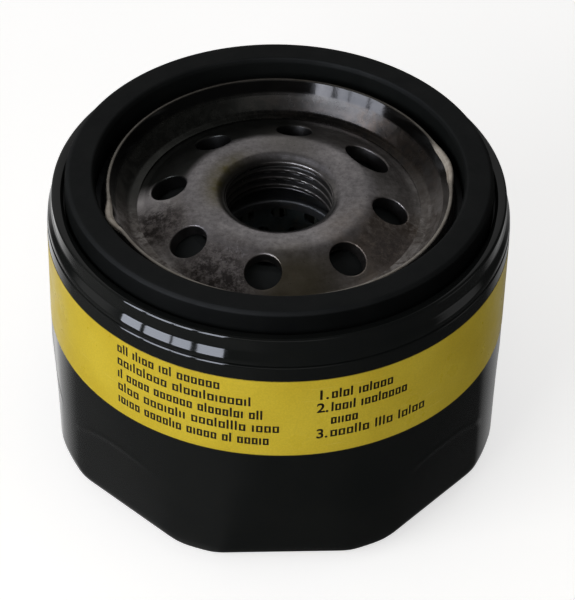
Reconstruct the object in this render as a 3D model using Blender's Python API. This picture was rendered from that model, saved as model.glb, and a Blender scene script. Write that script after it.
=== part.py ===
"""Spin-on oil filter for a small engine, one named object for each physical piece.

Origin: centre of the can's closed end. +Z runs along the axis to the sealing gasket.
Every length is in metres. Azimuths are degrees counter-clockwise from +X, seen from +Z.
"""

import math

import bmesh
import bpy
from mathutils import Matrix, Vector

MM = 0.001

# Driving dimensions -------------------------------------------------------------------

CAN_RADIUS = 38.0 * MM          # 76 mm (3 in) can
CAN_SHEET = 0.5 * MM
CAN_CORNER = 6.0 * MM           # radius round the closed end
CAN_SHOULDER_Z = 45.6 * MM      # where the wall draws in below the seam
CAN_NECK = (37.45 * MM, 46.3 * MM)
END_DISH_RADIUS = 11.0 * MM     # shallow recess in the closed end
END_DISH_SLOPE = 2.0 * MM
END_DISH_RISE = 1.0 * MM

SEAM_BULGE_RADIUS = 37.9 * MM   # the roll is widest along its lower edge
SEAM_BULGE_BOTTOM_Z = 47.0 * MM
SEAM_BULGE_TOP_Z = 47.4 * MM
SEAM_WALL_RADIUS = 37.35 * MM
SEAM_WALL_BOTTOM_Z = 49.0 * MM
SEAM_TOP_Z = 51.4 * MM
SEAM_INNER_RADIUS = 35.3 * MM
SEAM_OUTER_BEND = 0.5 * MM
SEAM_INNER_BEND = 0.6 * MM

FLAT_COUNT = 8                  # wrench flats pressed round the closed end
FLAT_DEPTH = 2.5 * MM           # at the very bottom
FLAT_TOP_Z = 21.6 * MM
FLAT_FOOT_RADIUS = 26.0 * MM    # the closed end stays flat and round inside this
FLAT_AZIMUTH = -87.0

LABEL_BOTTOM_Z = 27.5 * MM
LABEL_TOP_Z = 43.6 * MM
LABEL_SHEET = 0.12 * MM
LABEL_CLEARANCE = 0.1 * MM

THREAD_MINOR_RADIUS = 8.77 * MM  # 3/4-16 UNF internal thread
THREAD_LEAD_IN = 1.7 * MM       # depth of the rounded entry above the thread
COLLAR_RADIUS = 11.4 * MM
COLLAR_BOTTOM_Z = 43.6 * MM
COLLAR_ROOT_Z = 46.6 * MM
PLATEAU_Z = 50.5 * MM
PLATEAU_INNER_RADIUS = 12.0 * MM
PLATEAU_OUTER_RADIUS = 14.4 * MM
PLATE_THICKNESS = 2.4 * MM
PLATE_RADIUS = 27.0 * MM
PLATE_RIM_Z = 47.2 * MM
CONE_TOP = (15.8 * MM, 50.0 * MM)
CONE_FOOT = (22.2 * MM, 47.4 * MM)

INLET_COUNT = 8
INLET_RADIUS = 3.05 * MM
INLET_PITCH_RADIUS = 18.35 * MM
INLET_AZIMUTH = -97.2           # the hole nearest the front
LONG_INLET = 3                  # index of the one elongated hole
LONG_INLET_STRETCH = 1.5        # its length over its width, along the pitch circle

LID_SHEET = 0.5 * MM
LID_INNER_RADIUS = 23.3 * MM
LID_DISH_Z = 48.2 * MM
LID_FLANGE_RADIUS = 36.1 * MM   # inside of the upright flange held in the seam
LID_FLANGE_TOP_Z = 49.9 * MM
LIP_RADIUS = 27.9 * MM
LIP_TOP_Z = 52.4 * MM
LIP_BEND = 0.8 * MM
CHANNEL_FLOOR_Z = 49.1 * MM
STAKE_AZIMUTHS = (15.0, 195.0)  # the lip is pushed out here to hold the gasket
STAKE_PUSH = 0.9 * MM
STAKE_HALF_WIDTH = 11.0         # degrees
STAKE_FOOT_Z = 49.5 * MM        # the push grows from nothing here, over STAKE_RISE
STAKE_RISE = 1.5 * MM

GASKET_INNER_RADIUS = 30.1 * MM
GASKET_OUTER_RADIUS = 35.0 * MM
GASKET_TOP_Z = 54.9 * MM
GASKET_SHOULDER = 0.6 * MM
GASKET_BEVEL = 0.3 * MM

VALVE_HUB_TOP_Z = 45.9 * MM
VALVE_CREST = (15.8 * MM, 46.9 * MM)
VALVE_SKIRT_EDGE = (22.4 * MM, 44.2 * MM)

ELEMENT_RADIUS = 32.5 * MM
ELEMENT_BOTTOM_Z = 7.9 * MM
ELEMENT_TOP_Z = 39.9 * MM
ELEMENT_NECK_RADIUS = 10.1 * MM
ELEMENT_NECK_HEIGHT = 1.0 * MM
CAP_SHEET = 0.5 * MM
CAP_SKIRT = 3.7 * MM

TUBE_RADIUS = 11.5 * MM
TUBE_SHEET = 0.5 * MM
TUBE_HOLE_RADIUS = 1.7 * MM
TUBE_HOLES_ROUND = 8
TUBE_HOLE_ROWS = 3

PLEAT_COUNT = 30
PLEAT_INNER_RADIUS = 12.3 * MM
PLEAT_OUTER_RADIUS = 30.6 * MM
PLEAT_HALF_WIDTH = 0.6 * MM     # from a pleat's middle to the middle of its paper
PLEAT_PAPER = 0.5 * MM
ADHESIVE_DEPTH = 0.8 * MM

SEAT_HOLE_RADIUS = 4.6 * MM
SEAT_EDGE_HEIGHT = 0.7 * MM
SEAL_INNER_RADIUS = 3.4 * MM
SEAL_OUTER_RADIUS = 6.6 * MM
SEAL_BOTTOM_Z = 10.2 * MM
SEAL_THICKNESS = 0.8 * MM
POPPET_RADIUS = 6.9 * MM
POPPET_BOSS_RADIUS = 3.0 * MM
POPPET_THICKNESS = 0.8 * MM
STEM_RADIUS = 1.2 * MM
CAGE_RADIUS = 9.0 * MM
CAGE_BOTTOM_Z = 9.5 * MM
CAGE_TOP_Z = 22.2 * MM
CAGE_WINDOW_Z = 16.0 * MM
CAGE_WINDOW = 8.0 * MM          # width and height of each window
CAGE_WINDOW_COUNT = 3
BYPASS_COIL_RADIUS = 3.6 * MM
BYPASS_WIRE_RADIUS = 0.35 * MM
BYPASS_TURNS = 5.0

ELEMENT_SPRING_WIDE_RADIUS = 22.0 * MM
ELEMENT_SPRING_NARROW_RADIUS = 14.0 * MM
ELEMENT_WIRE_RADIUS = 0.8 * MM
ELEMENT_SPRING_TURNS = 2.25

GAP = 0.3 * MM                  # between pieces that rest on one another
ROUND = 48                      # sides of a large round piece
COARSE = 32                     # sides of a small or hidden one


# Shape helpers ------------------------------------------------------------------------

def clear_scene():
    for old in list(bpy.data.objects):
        bpy.data.objects.remove(old, do_unlink=True)


def material(name, colour, roughness, metallic=0.0):
    made = bpy.data.materials.new(name)
    made.use_nodes = True
    shader = made.node_tree.nodes["Principled BSDF"]
    shader.inputs["Base Color"].default_value = (*colour, 1.0)
    shader.inputs["Roughness"].default_value = roughness
    shader.inputs["Metallic"].default_value = metallic
    made.diffuse_color = (*colour, 1.0)
    return made


def add_object(name, bm, finish):
    """Turn a bmesh into a smooth-shaded object with outward faces."""
    bmesh.ops.recalc_face_normals(bm, faces=bm.faces)
    mesh = bpy.data.meshes.new(name)
    bm.to_mesh(mesh)
    bm.free()
    mesh.shade_smooth()
    mesh.set_sharp_from_angle(angle=math.radians(35))
    mesh.materials.append(finish)
    made = bpy.data.objects.new(name, mesh)
    bpy.context.scene.collection.objects.link(made)
    return made


def arc(centre, radius, start, end, steps):
    """Points on a circle in the (r, z) half-plane, angles in degrees from +r."""
    points = []
    for step in range(steps + 1):
        angle = math.radians(start + (end - start) * step / steps)
        points.append((centre[0] + radius * math.cos(angle), centre[1] + radius * math.sin(angle)))
    return points


def sheet(path, thickness):
    """Closed outline of a bent sheet: the path, and its copy offset to the right."""
    offset = []
    for index, point in enumerate(path):
        normals = []
        for first, second in ((index - 1, index), (index, index + 1)):
            if first >= 0 and second < len(path):
                run = Vector(path[second]) - Vector(path[first])
                normals.append(Vector((run.y, -run.x)).normalized())
        mitre = sum(normals, Vector((0.0, 0.0))).normalized()
        reach = thickness / mitre.dot(normals[0])
        offset.append((point[0] + mitre.x * reach, point[1] + mitre.y * reach))
    return list(path) + offset[::-1]


def revolve(outline, sides, reshape=None, first_azimuth=0.0):
    """Spin a closed (r, z) outline about Z. A point with r = 0 becomes a single pole.

    reshape(azimuth, r, z) may return another radius, for shapes that aren't quite round.
    """
    bm = bmesh.new()
    rings = []
    for radius, height in outline:
        if radius < 1e-7:
            rings.append([bm.verts.new((0.0, 0.0, height))])
            continue
        ring = []
        for side in range(sides):
            azimuth = math.radians(first_azimuth) + 2.0 * math.pi * side / sides
            reach = reshape(azimuth, radius, height) if reshape else radius
            ring.append(bm.verts.new((reach * math.cos(azimuth), reach * math.sin(azimuth), height)))
        rings.append(ring)
    for index, ring in enumerate(rings):
        other = rings[(index + 1) % len(rings)]
        if len(ring) == 1 and len(other) == 1:
            continue
        for side in range(sides):
            following = (side + 1) % sides
            if len(ring) == 1:
                bm.faces.new((ring[0], other[side], other[following]))
            elif len(other) == 1:
                bm.faces.new((ring[side], other[0], ring[following]))
            else:
                bm.faces.new((ring[side], other[side], other[following], ring[following]))
    return bm


def coil(start_radius, end_radius, start_z, end_z, turns, wire_radius, steps_per_turn, wire_sides):
    """Round wire wound about Z, with flat ends."""
    bm = bmesh.new()
    steps = round(turns * steps_per_turn)
    rings = []
    for step in range(steps + 1):
        part = step / steps
        azimuth = 2.0 * math.pi * turns * part
        radius = start_radius + (end_radius - start_radius) * part
        height = start_z + (end_z - start_z) * part
        outward = Vector((math.cos(azimuth), math.sin(azimuth), 0.0))
        ring = []
        for side in range(wire_sides):
            around = 2.0 * math.pi * side / wire_sides
            spot = outward * (radius + wire_radius * math.cos(around))
            spot.z = height + wire_radius * math.sin(around)
            ring.append(bm.verts.new(spot))
        rings.append(ring)
    for ring, other in zip(rings, rings[1:]):
        for side in range(wire_sides):
            following = (side + 1) % wire_sides
            bm.faces.new((ring[side], other[side], other[following], ring[following]))
    bm.faces.new(rings[0])
    bm.faces.new(rings[-1])
    return bm


def cut(target, name, bm):
    """Cut a closed shape out of an object with a Boolean modifier."""
    bmesh.ops.recalc_face_normals(bm, faces=bm.faces)
    mesh = bpy.data.meshes.new(name)
    bm.to_mesh(mesh)
    bm.free()
    cutter = bpy.data.objects.new(name, mesh)
    cutter.hide_render = True
    cutter.display_type = "WIRE"
    bpy.context.scene.collection.objects.link(cutter)
    boolean = target.modifiers.new(name, "BOOLEAN")
    boolean.operation = "DIFFERENCE"
    boolean.solver = "EXACT"
    boolean.object = cutter


def azimuth_matrix(degrees):
    return Matrix.Rotation(math.radians(degrees), 4, "Z")


# Casing -------------------------------------------------------------------------------

def flat_reshape(azimuth, radius, height):
    """Press the wrench flats into the round can, deepening towards the closed end."""
    if height >= FLAT_TOP_Z or radius < FLAT_FOOT_RADIUS:
        return radius
    pitch = 2.0 * math.pi / FLAT_COUNT
    from_flat = (azimuth - math.radians(FLAT_AZIMUTH) + pitch / 2.0) % pitch - pitch / 2.0
    depth = FLAT_DEPTH * (1.0 - height / FLAT_TOP_Z) ** 3
    inset = CAN_RADIUS - radius
    return min(radius, (CAN_RADIUS - depth - inset) / math.cos(from_flat))


def build_can_shell():
    """Drawn steel can: dished end, wrench flats, and a rim rolled over the lid's flange."""
    outer_bend = (SEAM_WALL_RADIUS - SEAM_OUTER_BEND, SEAM_TOP_Z - SEAM_OUTER_BEND)
    inner_bend = (SEAM_INNER_RADIUS + SEAM_INNER_BEND, SEAM_TOP_Z - SEAM_INNER_BEND)
    path = [(0.0, END_DISH_RISE), (END_DISH_RADIUS - END_DISH_SLOPE, END_DISH_RISE), (END_DISH_RADIUS, 0.0)]
    path += arc((CAN_RADIUS - CAN_CORNER, CAN_CORNER), CAN_CORNER, -90, 0, 4)
    path += [(CAN_RADIUS, FLAT_TOP_Z * quarter / 4.0) for quarter in (2, 3, 4)]
    path += [(CAN_RADIUS, CAN_SHOULDER_Z), CAN_NECK, (SEAM_BULGE_RADIUS, SEAM_BULGE_BOTTOM_Z)]
    path += [(SEAM_BULGE_RADIUS, SEAM_BULGE_TOP_Z), (SEAM_WALL_RADIUS, SEAM_WALL_BOTTOM_Z)]
    path += arc(outer_bend, SEAM_OUTER_BEND, 0, 90, 2)
    path += arc(inner_bend, SEAM_INNER_BEND, 90, 180, 1)
    path += [(SEAM_INNER_RADIUS, CHANNEL_FLOOR_Z + GAP)]
    finish = material("can_black_paint", (0.012, 0.013, 0.013), 0.16)
    bm = revolve(sheet(path[::-1], CAN_SHEET), ROUND, flat_reshape, FLAT_AZIMUTH)
    return add_object("can_shell", bm, finish)


def build_label_band():
    """Printed yellow band wrapped round the can."""
    inner = CAN_RADIUS + LABEL_CLEARANCE
    outer = inner + LABEL_SHEET
    outline = [(inner, LABEL_BOTTOM_Z), (outer, LABEL_BOTTOM_Z), (outer, LABEL_TOP_Z), (inner, LABEL_TOP_Z)]
    finish = material("label_yellow", (0.55, 0.45, 0.03), 0.38)
    return add_object("label_band", revolve(outline, ROUND, None, FLAT_AZIMUTH), finish)


def stake_reshape(azimuth, radius, height):
    """Push the lid's lip outwards at the two stakes."""
    if height < STAKE_FOOT_Z or not LIP_RADIUS - LIP_BEND - GAP < radius < GASKET_INNER_RADIUS:
        return radius
    push = 0.0
    for stake in STAKE_AZIMUTHS:
        away = abs((math.degrees(azimuth) - stake + 180.0) % 360.0 - 180.0)
        if away < STAKE_HALF_WIDTH:
            push += STAKE_PUSH * math.cos(math.radians(90.0 * away / STAKE_HALF_WIDTH)) ** 2
    return radius + push * min(1.0, (height - STAKE_FOOT_Z) / STAKE_RISE)


def build_seaming_lid():
    """Thin lid: dish wall, rolled lip, gasket channel, and the flange held in the seam."""
    dish_rim, lip_foot = LID_INNER_RADIUS + 1.3 * MM, LIP_RADIUS + 1.1 * MM
    bend = 0.5 * MM
    path = [(LID_INNER_RADIUS, LID_DISH_Z), (dish_rim, LID_DISH_Z + 0.1 * MM)]
    path += [(LIP_RADIUS - 1.7 * MM, LID_DISH_Z + 1.1 * MM), (LIP_RADIUS - 0.9 * MM, LID_DISH_Z + 2.5 * MM)]
    path += arc((LIP_RADIUS + 0.1 * MM, LIP_TOP_Z - LIP_BEND), LIP_BEND, 165, 15, 3)
    path += [(lip_foot, CHANNEL_FLOOR_Z + bend), (lip_foot + bend, CHANNEL_FLOOR_Z)]
    path += [(LID_FLANGE_RADIUS - bend, CHANNEL_FLOOR_Z), (LID_FLANGE_RADIUS, CHANNEL_FLOOR_Z + bend)]
    path += [(LID_FLANGE_RADIUS, LID_FLANGE_TOP_Z)]
    finish = material("lid_tinned_steel", (0.36, 0.34, 0.31), 0.34, 0.9)
    return add_object("seaming_lid", revolve(sheet(path, LID_SHEET), ROUND, stake_reshape), finish)


def build_seam_sealant():
    """Bead of compound at the top of the rolled seam, above the lid's flange."""
    inner, outer = LID_FLANGE_RADIUS, LID_FLANGE_RADIUS + LID_SHEET
    bottom, top = LID_FLANGE_TOP_Z + GAP, SEAM_TOP_Z - CAN_SHEET - GAP
    outline = [(inner, bottom), (outer, bottom), (outer, top), (inner, top)]
    finish = material("sealant_grey", (0.20, 0.21, 0.20), 0.7)
    return add_object("seam_sealant", revolve(outline, ROUND), finish)


def build_tapping_plate():
    """Thick base plate: drawn threaded collar, sloping ring of inlet holes, flat rim."""
    slope = math.atan2(CONE_TOP[1] - CONE_FOOT[1], CONE_FOOT[0] - CONE_TOP[0])
    drop = PLATE_THICKNESS / math.cos(slope)
    entry = THREAD_MINOR_RADIUS
    rim_bottom = PLATE_RIM_Z - PLATE_THICKNESS
    outline = [(entry, COLLAR_BOTTOM_Z), (entry, PLATEAU_Z - THREAD_LEAD_IN)]
    outline += [(entry + 0.8 * MM, PLATEAU_Z - 1.0 * MM), (entry + 1.8 * MM, PLATEAU_Z - 0.35 * MM)]
    outline += [(PLATEAU_INNER_RADIUS, PLATEAU_Z), (PLATEAU_OUTER_RADIUS, PLATEAU_Z - 0.1 * MM)]
    outline += [CONE_TOP, CONE_FOOT, (CONE_FOOT[0] + 0.8 * MM, PLATE_RIM_Z), (PLATE_RADIUS, PLATE_RIM_Z)]
    outline += [(PLATE_RADIUS, rim_bottom), (CONE_FOOT[0] + 0.6 * MM, rim_bottom)]
    outline += [(CONE_FOOT[0] - 0.5 * MM, CONE_FOOT[1] - drop + 0.2 * MM), (CONE_TOP[0], CONE_TOP[1] - drop)]
    outline += [(PLATEAU_OUTER_RADIUS - 1.0 * MM, PLATEAU_Z - PLATE_THICKNESS)]
    outline += [(COLLAR_RADIUS, COLLAR_ROOT_Z), (COLLAR_RADIUS, COLLAR_BOTTOM_Z)]
    finish = material("plate_steel", (0.30, 0.27, 0.25), 0.38, 0.85)
    plate = add_object("tapping_plate", revolve(outline, ROUND), finish)
    for index in range(INLET_COUNT):
        bm = bmesh.new()
        stretch = LONG_INLET_STRETCH if index == LONG_INLET else 1.0
        place = azimuth_matrix(INLET_AZIMUTH + 360.0 * index / INLET_COUNT)
        place = place @ Matrix.Translation((INLET_PITCH_RADIUS, 0.0, CONE_FOOT[1]))
        place = place @ Matrix.Diagonal((1.0, stretch, 1.0, 1.0))
        bmesh.ops.create_cone(
            bm, cap_ends=True, segments=14, radius1=INLET_RADIUS, radius2=INLET_RADIUS,
            depth=5.0 * PLATE_THICKNESS, matrix=place,
        )
        cut(plate, f"inlet_cutter_{index + 1}", bm)
    return plate


def build_sealing_gasket():
    """Square-cut rubber ring with a rounded outer shoulder, standing proud of the seam."""
    bottom = CHANNEL_FLOOR_Z + GAP
    shoulder = (GASKET_OUTER_RADIUS - GASKET_SHOULDER, GASKET_TOP_Z - GASKET_SHOULDER)
    outline = [(GASKET_INNER_RADIUS, bottom), (GASKET_OUTER_RADIUS, bottom)]
    outline += arc(shoulder, GASKET_SHOULDER, 0, 90, 3)
    outline += [(GASKET_INNER_RADIUS + GASKET_BEVEL, GASKET_TOP_Z)]
    outline += [(GASKET_INNER_RADIUS, GASKET_TOP_Z - GASKET_BEVEL)]
    finish = material("gasket_rubber", (0.014, 0.015, 0.015), 0.55)
    return add_object("sealing_gasket", revolve(outline, ROUND), finish)


# Inside the can -----------------------------------------------------------------------

def build_anti_drainback_valve():
    """Rubber valve: a hub round the collar, and a skirt that covers the inlet holes."""
    hub_inner, hub_outer = COLLAR_RADIUS + GAP, COLLAR_RADIUS + 2.0 * MM
    hub_bottom = ELEMENT_TOP_Z + 1.5 * MM
    skirt = 0.9 * MM
    outline = [(hub_inner, hub_bottom), (hub_outer, hub_bottom), (hub_outer, VALVE_HUB_TOP_Z - 1.0 * MM)]
    outline += [(VALVE_CREST[0] - 0.4 * MM, VALVE_CREST[1] - skirt)]
    outline += [(VALVE_SKIRT_EDGE[0] - 0.5 * MM, VALVE_SKIRT_EDGE[1] - skirt)]
    outline += [(VALVE_SKIRT_EDGE[0] + 0.2 * MM, VALVE_SKIRT_EDGE[1] - skirt + 0.1 * MM)]
    outline += [VALVE_SKIRT_EDGE, VALVE_CREST, (VALVE_CREST[0] - 1.4 * MM, VALVE_CREST[1])]
    outline += [(COLLAR_RADIUS + 1.5 * MM, VALVE_HUB_TOP_Z), (hub_inner, VALVE_HUB_TOP_Z)]
    finish = material("valve_rubber", (0.03, 0.028, 0.026), 0.6)
    return add_object("anti_drainback_valve", revolve(outline, ROUND), finish)


def build_element_top_cap():
    """Open end cap: a neck round the outlet and a skirt round the paper."""
    neck = ELEMENT_NECK_RADIUS + CAP_SHEET
    path = [
        (neck, ELEMENT_TOP_Z + ELEMENT_NECK_HEIGHT), (neck, ELEMENT_TOP_Z),
        (ELEMENT_RADIUS, ELEMENT_TOP_Z), (ELEMENT_RADIUS, ELEMENT_TOP_Z - CAP_SKIRT),
    ]
    finish = material("top_cap_steel", (0.45, 0.44, 0.42), 0.35, 0.9)
    return add_object("element_top_cap", revolve(sheet(path, CAP_SHEET), COARSE), finish)


def build_element_bottom_cap():
    """Far end cap, with a central hole for the bypass valve."""
    path = [
        (ELEMENT_RADIUS, ELEMENT_BOTTOM_Z + CAP_SKIRT), (ELEMENT_RADIUS, ELEMENT_BOTTOM_Z),
        (SEAT_HOLE_RADIUS + 1.4 * MM, ELEMENT_BOTTOM_Z),
    ]
    finish = material("bottom_cap_steel", (0.44, 0.43, 0.41), 0.36, 0.9)
    return add_object("element_bottom_cap", revolve(sheet(path, CAP_SHEET), COARSE), finish)


def build_center_tube():
    """Perforated steel tube that keeps the paper from collapsing."""
    bottom = ELEMENT_BOTTOM_Z + CAP_SHEET + GAP
    top = ELEMENT_TOP_Z - CAP_SHEET - GAP
    path = [(TUBE_RADIUS, top), (TUBE_RADIUS, bottom)]
    finish = material("tube_steel", (0.50, 0.49, 0.46), 0.33, 0.9)
    tube = add_object("center_tube", revolve(sheet(path, TUBE_SHEET), COARSE), finish)
    for row in range(TUBE_HOLE_ROWS):
        height = bottom + (top - bottom) * (row + 0.7) / (TUBE_HOLE_ROWS + 0.4)
        stagger = 180.0 / TUBE_HOLES_ROUND * (row % 2)
        for index in range(TUBE_HOLES_ROUND // 2):
            bm = bmesh.new()
            place = Matrix.Translation((0.0, 0.0, height))
            place = place @ azimuth_matrix(stagger + 360.0 * index / TUBE_HOLES_ROUND)
            place = place @ Matrix.Rotation(math.radians(90), 4, "Y")
            bmesh.ops.create_cone(
                bm, cap_ends=True, segments=8, radius1=TUBE_HOLE_RADIUS, radius2=TUBE_HOLE_RADIUS,
                depth=3.0 * TUBE_RADIUS, matrix=place,
            )
            cut(tube, f"tube_cutter_{row + 1}_{index + 1}", bm)
    return tube


def media_span():
    """Bottom and top of the paper, between the two adhesive beads."""
    clearance = CAP_SHEET + ADHESIVE_DEPTH + 2.0 * GAP
    return ELEMENT_BOTTOM_Z + clearance, ELEMENT_TOP_Z - clearance


def build_pleated_media():
    """Filter paper folded into parallel-sided radial pleats, as one closed sheet."""
    bottom, top = media_span()
    bm = bmesh.new()
    loops = []
    for side in (-0.5, 0.5):
        shift = side * PLEAT_PAPER
        half = PLEAT_HALF_WIDTH + shift
        inner, outer = PLEAT_INNER_RADIUS + shift, PLEAT_OUTER_RADIUS + shift
        corners = ((inner, -half), (outer, -half), (outer, half), (inner, half))
        for height in (bottom, top):
            ring = []
            for pleat in range(PLEAT_COUNT):
                turn = azimuth_matrix(360.0 * pleat / PLEAT_COUNT)
                ring += [bm.verts.new(turn @ Vector((x, y, height))) for x, y in corners]
            loops.append(ring)
    inner_low, inner_high, outer_low, outer_high = loops
    for index in range(len(outer_low)):
        following = (index + 1) % len(outer_low)
        for first, second in (
            (outer_low, outer_high), (outer_high, inner_high),
            (inner_high, inner_low), (inner_low, outer_low),
        ):
            bm.faces.new((first[index], first[following], second[following], second[index]))
    finish = material("filter_paper", (0.62, 0.50, 0.28), 0.9)
    return add_object("pleated_media", bm, finish)


def build_media_seam_clip():
    """Folded metal strip that clamps the two ends of the paper along one pleat."""
    bottom, top = media_span()
    wall, leg, end_margin = 0.4 * MM, 1.6 * MM, 1.0 * MM
    half = PLEAT_HALF_WIDTH + PLEAT_PAPER / 2.0 + GAP
    face = PLEAT_OUTER_RADIUS + PLEAT_PAPER / 2.0 + GAP
    path = [(face - leg, -half), (face, -half), (face, half), (face - leg, half)]
    outline = sheet(path, wall)
    bm = bmesh.new()
    low = [bm.verts.new((x, y, bottom + end_margin)) for x, y in outline]
    high = [bm.verts.new((x, y, top - end_margin)) for x, y in outline]
    bm.faces.new(low)
    bm.faces.new(high)
    for index in range(len(outline)):
        following = (index + 1) % len(outline)
        bm.faces.new((low[index], low[following], high[following], high[index]))
    finish = material("clip_steel", (0.52, 0.51, 0.49), 0.35, 0.9)
    return add_object("media_seam_clip", bm, finish)


def build_adhesive_bead(name, bottom):
    """Ring of plastisol that bonds the paper and tube to an end cap."""
    inner, outer = TUBE_RADIUS + GAP, ELEMENT_RADIUS - CAP_SHEET - GAP
    top = bottom + ADHESIVE_DEPTH
    outline = [(inner, bottom), (outer, bottom), (outer, top), (inner, top)]
    finish = material(name + "_plastisol", (0.42, 0.16, 0.10), 0.6)
    return add_object(name, revolve(outline, COARSE), finish)


def build_bypass_seat():
    """Valve seat in the far end cap, with a rolled sealing edge."""
    plane = ELEMENT_BOTTOM_Z + 2.0 * CAP_SHEET + GAP
    edge = SEAT_HOLE_RADIUS + CAP_SHEET
    path = [(edge, plane + SEAT_EDGE_HEIGHT), (edge, plane), (TUBE_RADIUS - 1.6 * MM, plane)]
    finish = material("seat_steel", (0.50, 0.49, 0.47), 0.3, 0.9)
    return add_object("bypass_seat", revolve(sheet(path, CAP_SHEET), COARSE), finish)


def build_bypass_seal():
    """Rubber washer under the poppet that closes on the seat."""
    inner, outer = SEAL_INNER_RADIUS, SEAL_OUTER_RADIUS
    bottom, top = SEAL_BOTTOM_Z, SEAL_BOTTOM_Z + SEAL_THICKNESS
    outline = [(inner, bottom), (outer, bottom), (outer, top), (inner, top)]
    finish = material("seal_rubber", (0.05, 0.035, 0.03), 0.6)
    return add_object("bypass_seal", revolve(outline, COARSE), finish)


def poppet_span():
    """Bottom and top of the poppet's disc, which rests on the seal."""
    bottom = SEAL_BOTTOM_Z + SEAL_THICKNESS + GAP
    return bottom, bottom + POPPET_THICKNESS


def build_bypass_poppet():
    """Bypass valve disc with its boss through the seal and its guide stem."""
    boss_bottom = SEAL_BOTTOM_Z + 0.2 * MM
    disc_bottom, disc_top = poppet_span()
    stem_end = CAGE_TOP_Z - 1.2 * MM
    outline = [
        (0.0, boss_bottom), (POPPET_BOSS_RADIUS, boss_bottom), (POPPET_BOSS_RADIUS, disc_bottom),
        (POPPET_RADIUS, disc_bottom), (POPPET_RADIUS, disc_top), (STEM_RADIUS, disc_top),
        (STEM_RADIUS, stem_end - 0.5 * MM), (0.0, stem_end),
    ]
    finish = material("poppet_steel", (0.55, 0.54, 0.52), 0.28, 0.9)
    return add_object("bypass_poppet", revolve(outline, COARSE), finish)


def build_bypass_spring():
    """Compression spring between the poppet and its cage."""
    low = poppet_span()[1] + GAP + BYPASS_WIRE_RADIUS
    high = CAGE_TOP_Z - CAP_SHEET - GAP - BYPASS_WIRE_RADIUS
    radius = BYPASS_COIL_RADIUS
    finish = material("spring_wire", (0.40, 0.39, 0.37), 0.3, 0.95)
    wound = coil(radius, radius, low, high, BYPASS_TURNS, BYPASS_WIRE_RADIUS, 14, 5)
    return add_object("bypass_spring", wound, finish)


def build_bypass_cage():
    """Cup with three windows that guides the stem and holds the spring."""
    inside = CAGE_RADIUS - CAP_SHEET
    path = [
        (CAGE_RADIUS + 1.2 * MM, CAGE_BOTTOM_Z), (inside, CAGE_BOTTOM_Z),
        (inside, CAGE_TOP_Z - CAP_SHEET), (STEM_RADIUS + 0.5 * MM, CAGE_TOP_Z - CAP_SHEET),
    ]
    finish = material("cage_steel", (0.48, 0.47, 0.45), 0.34, 0.9)
    cage = add_object("bypass_cage", revolve(sheet(path, CAP_SHEET), 24), finish)
    for index in range(CAGE_WINDOW_COUNT):
        bm = bmesh.new()
        place = azimuth_matrix(30.0 + 360.0 * index / CAGE_WINDOW_COUNT)
        place = place @ Matrix.Translation((CAGE_RADIUS, 0.0, CAGE_WINDOW_Z))
        place = place @ Matrix.Diagonal((6.0 * MM, CAGE_WINDOW, CAGE_WINDOW, 1.0))
        bmesh.ops.create_cube(bm, size=1.0, matrix=place)
        cut(cage, f"cage_window_{index + 1}", bm)
    return cage


def build_element_spring():
    """Conical spring that presses the element towards the tapping plate."""
    low = CAN_SHEET + GAP + ELEMENT_WIRE_RADIUS
    high = ELEMENT_BOTTOM_Z - GAP - ELEMENT_WIRE_RADIUS
    wide, narrow = ELEMENT_SPRING_WIDE_RADIUS, ELEMENT_SPRING_NARROW_RADIUS
    finish = material("element_spring_wire", (0.36, 0.35, 0.34), 0.3, 0.95)
    wound = coil(wide, narrow, low, high, ELEMENT_SPRING_TURNS, ELEMENT_WIRE_RADIUS, 24, 6)
    return add_object("element_spring", wound, finish)


def main():
    clear_scene()
    build_can_shell()
    build_label_band()
    build_seaming_lid()
    build_seam_sealant()
    build_tapping_plate()
    build_sealing_gasket()
    build_anti_drainback_valve()
    build_element_top_cap()
    build_element_bottom_cap()
    build_center_tube()
    build_pleated_media()
    build_media_seam_clip()
    build_adhesive_bead("adhesive_bead_top", ELEMENT_TOP_Z - CAP_SHEET - GAP - ADHESIVE_DEPTH)
    build_adhesive_bead("adhesive_bead_bottom", ELEMENT_BOTTOM_Z + CAP_SHEET + GAP)
    build_bypass_seat()
    build_bypass_seal()
    build_bypass_poppet()
    build_bypass_spring()
    build_bypass_cage()
    build_element_spring()


main()
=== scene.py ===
"""Looks of the spin-on oil filter: fine meshes, materials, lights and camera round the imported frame.

Sizes and places are in millimetres in the frame's own axes: the origin is the centre of the closed
end, and +Z runs along the axis to the gasket. Azimuths are degrees counter-clockwise from +X.
Blender's own metres come in only where a mesh, a texture's place or a light is made.
"""

import math
import random

import bmesh
import bpy
from mathutils import Matrix, Vector


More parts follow.
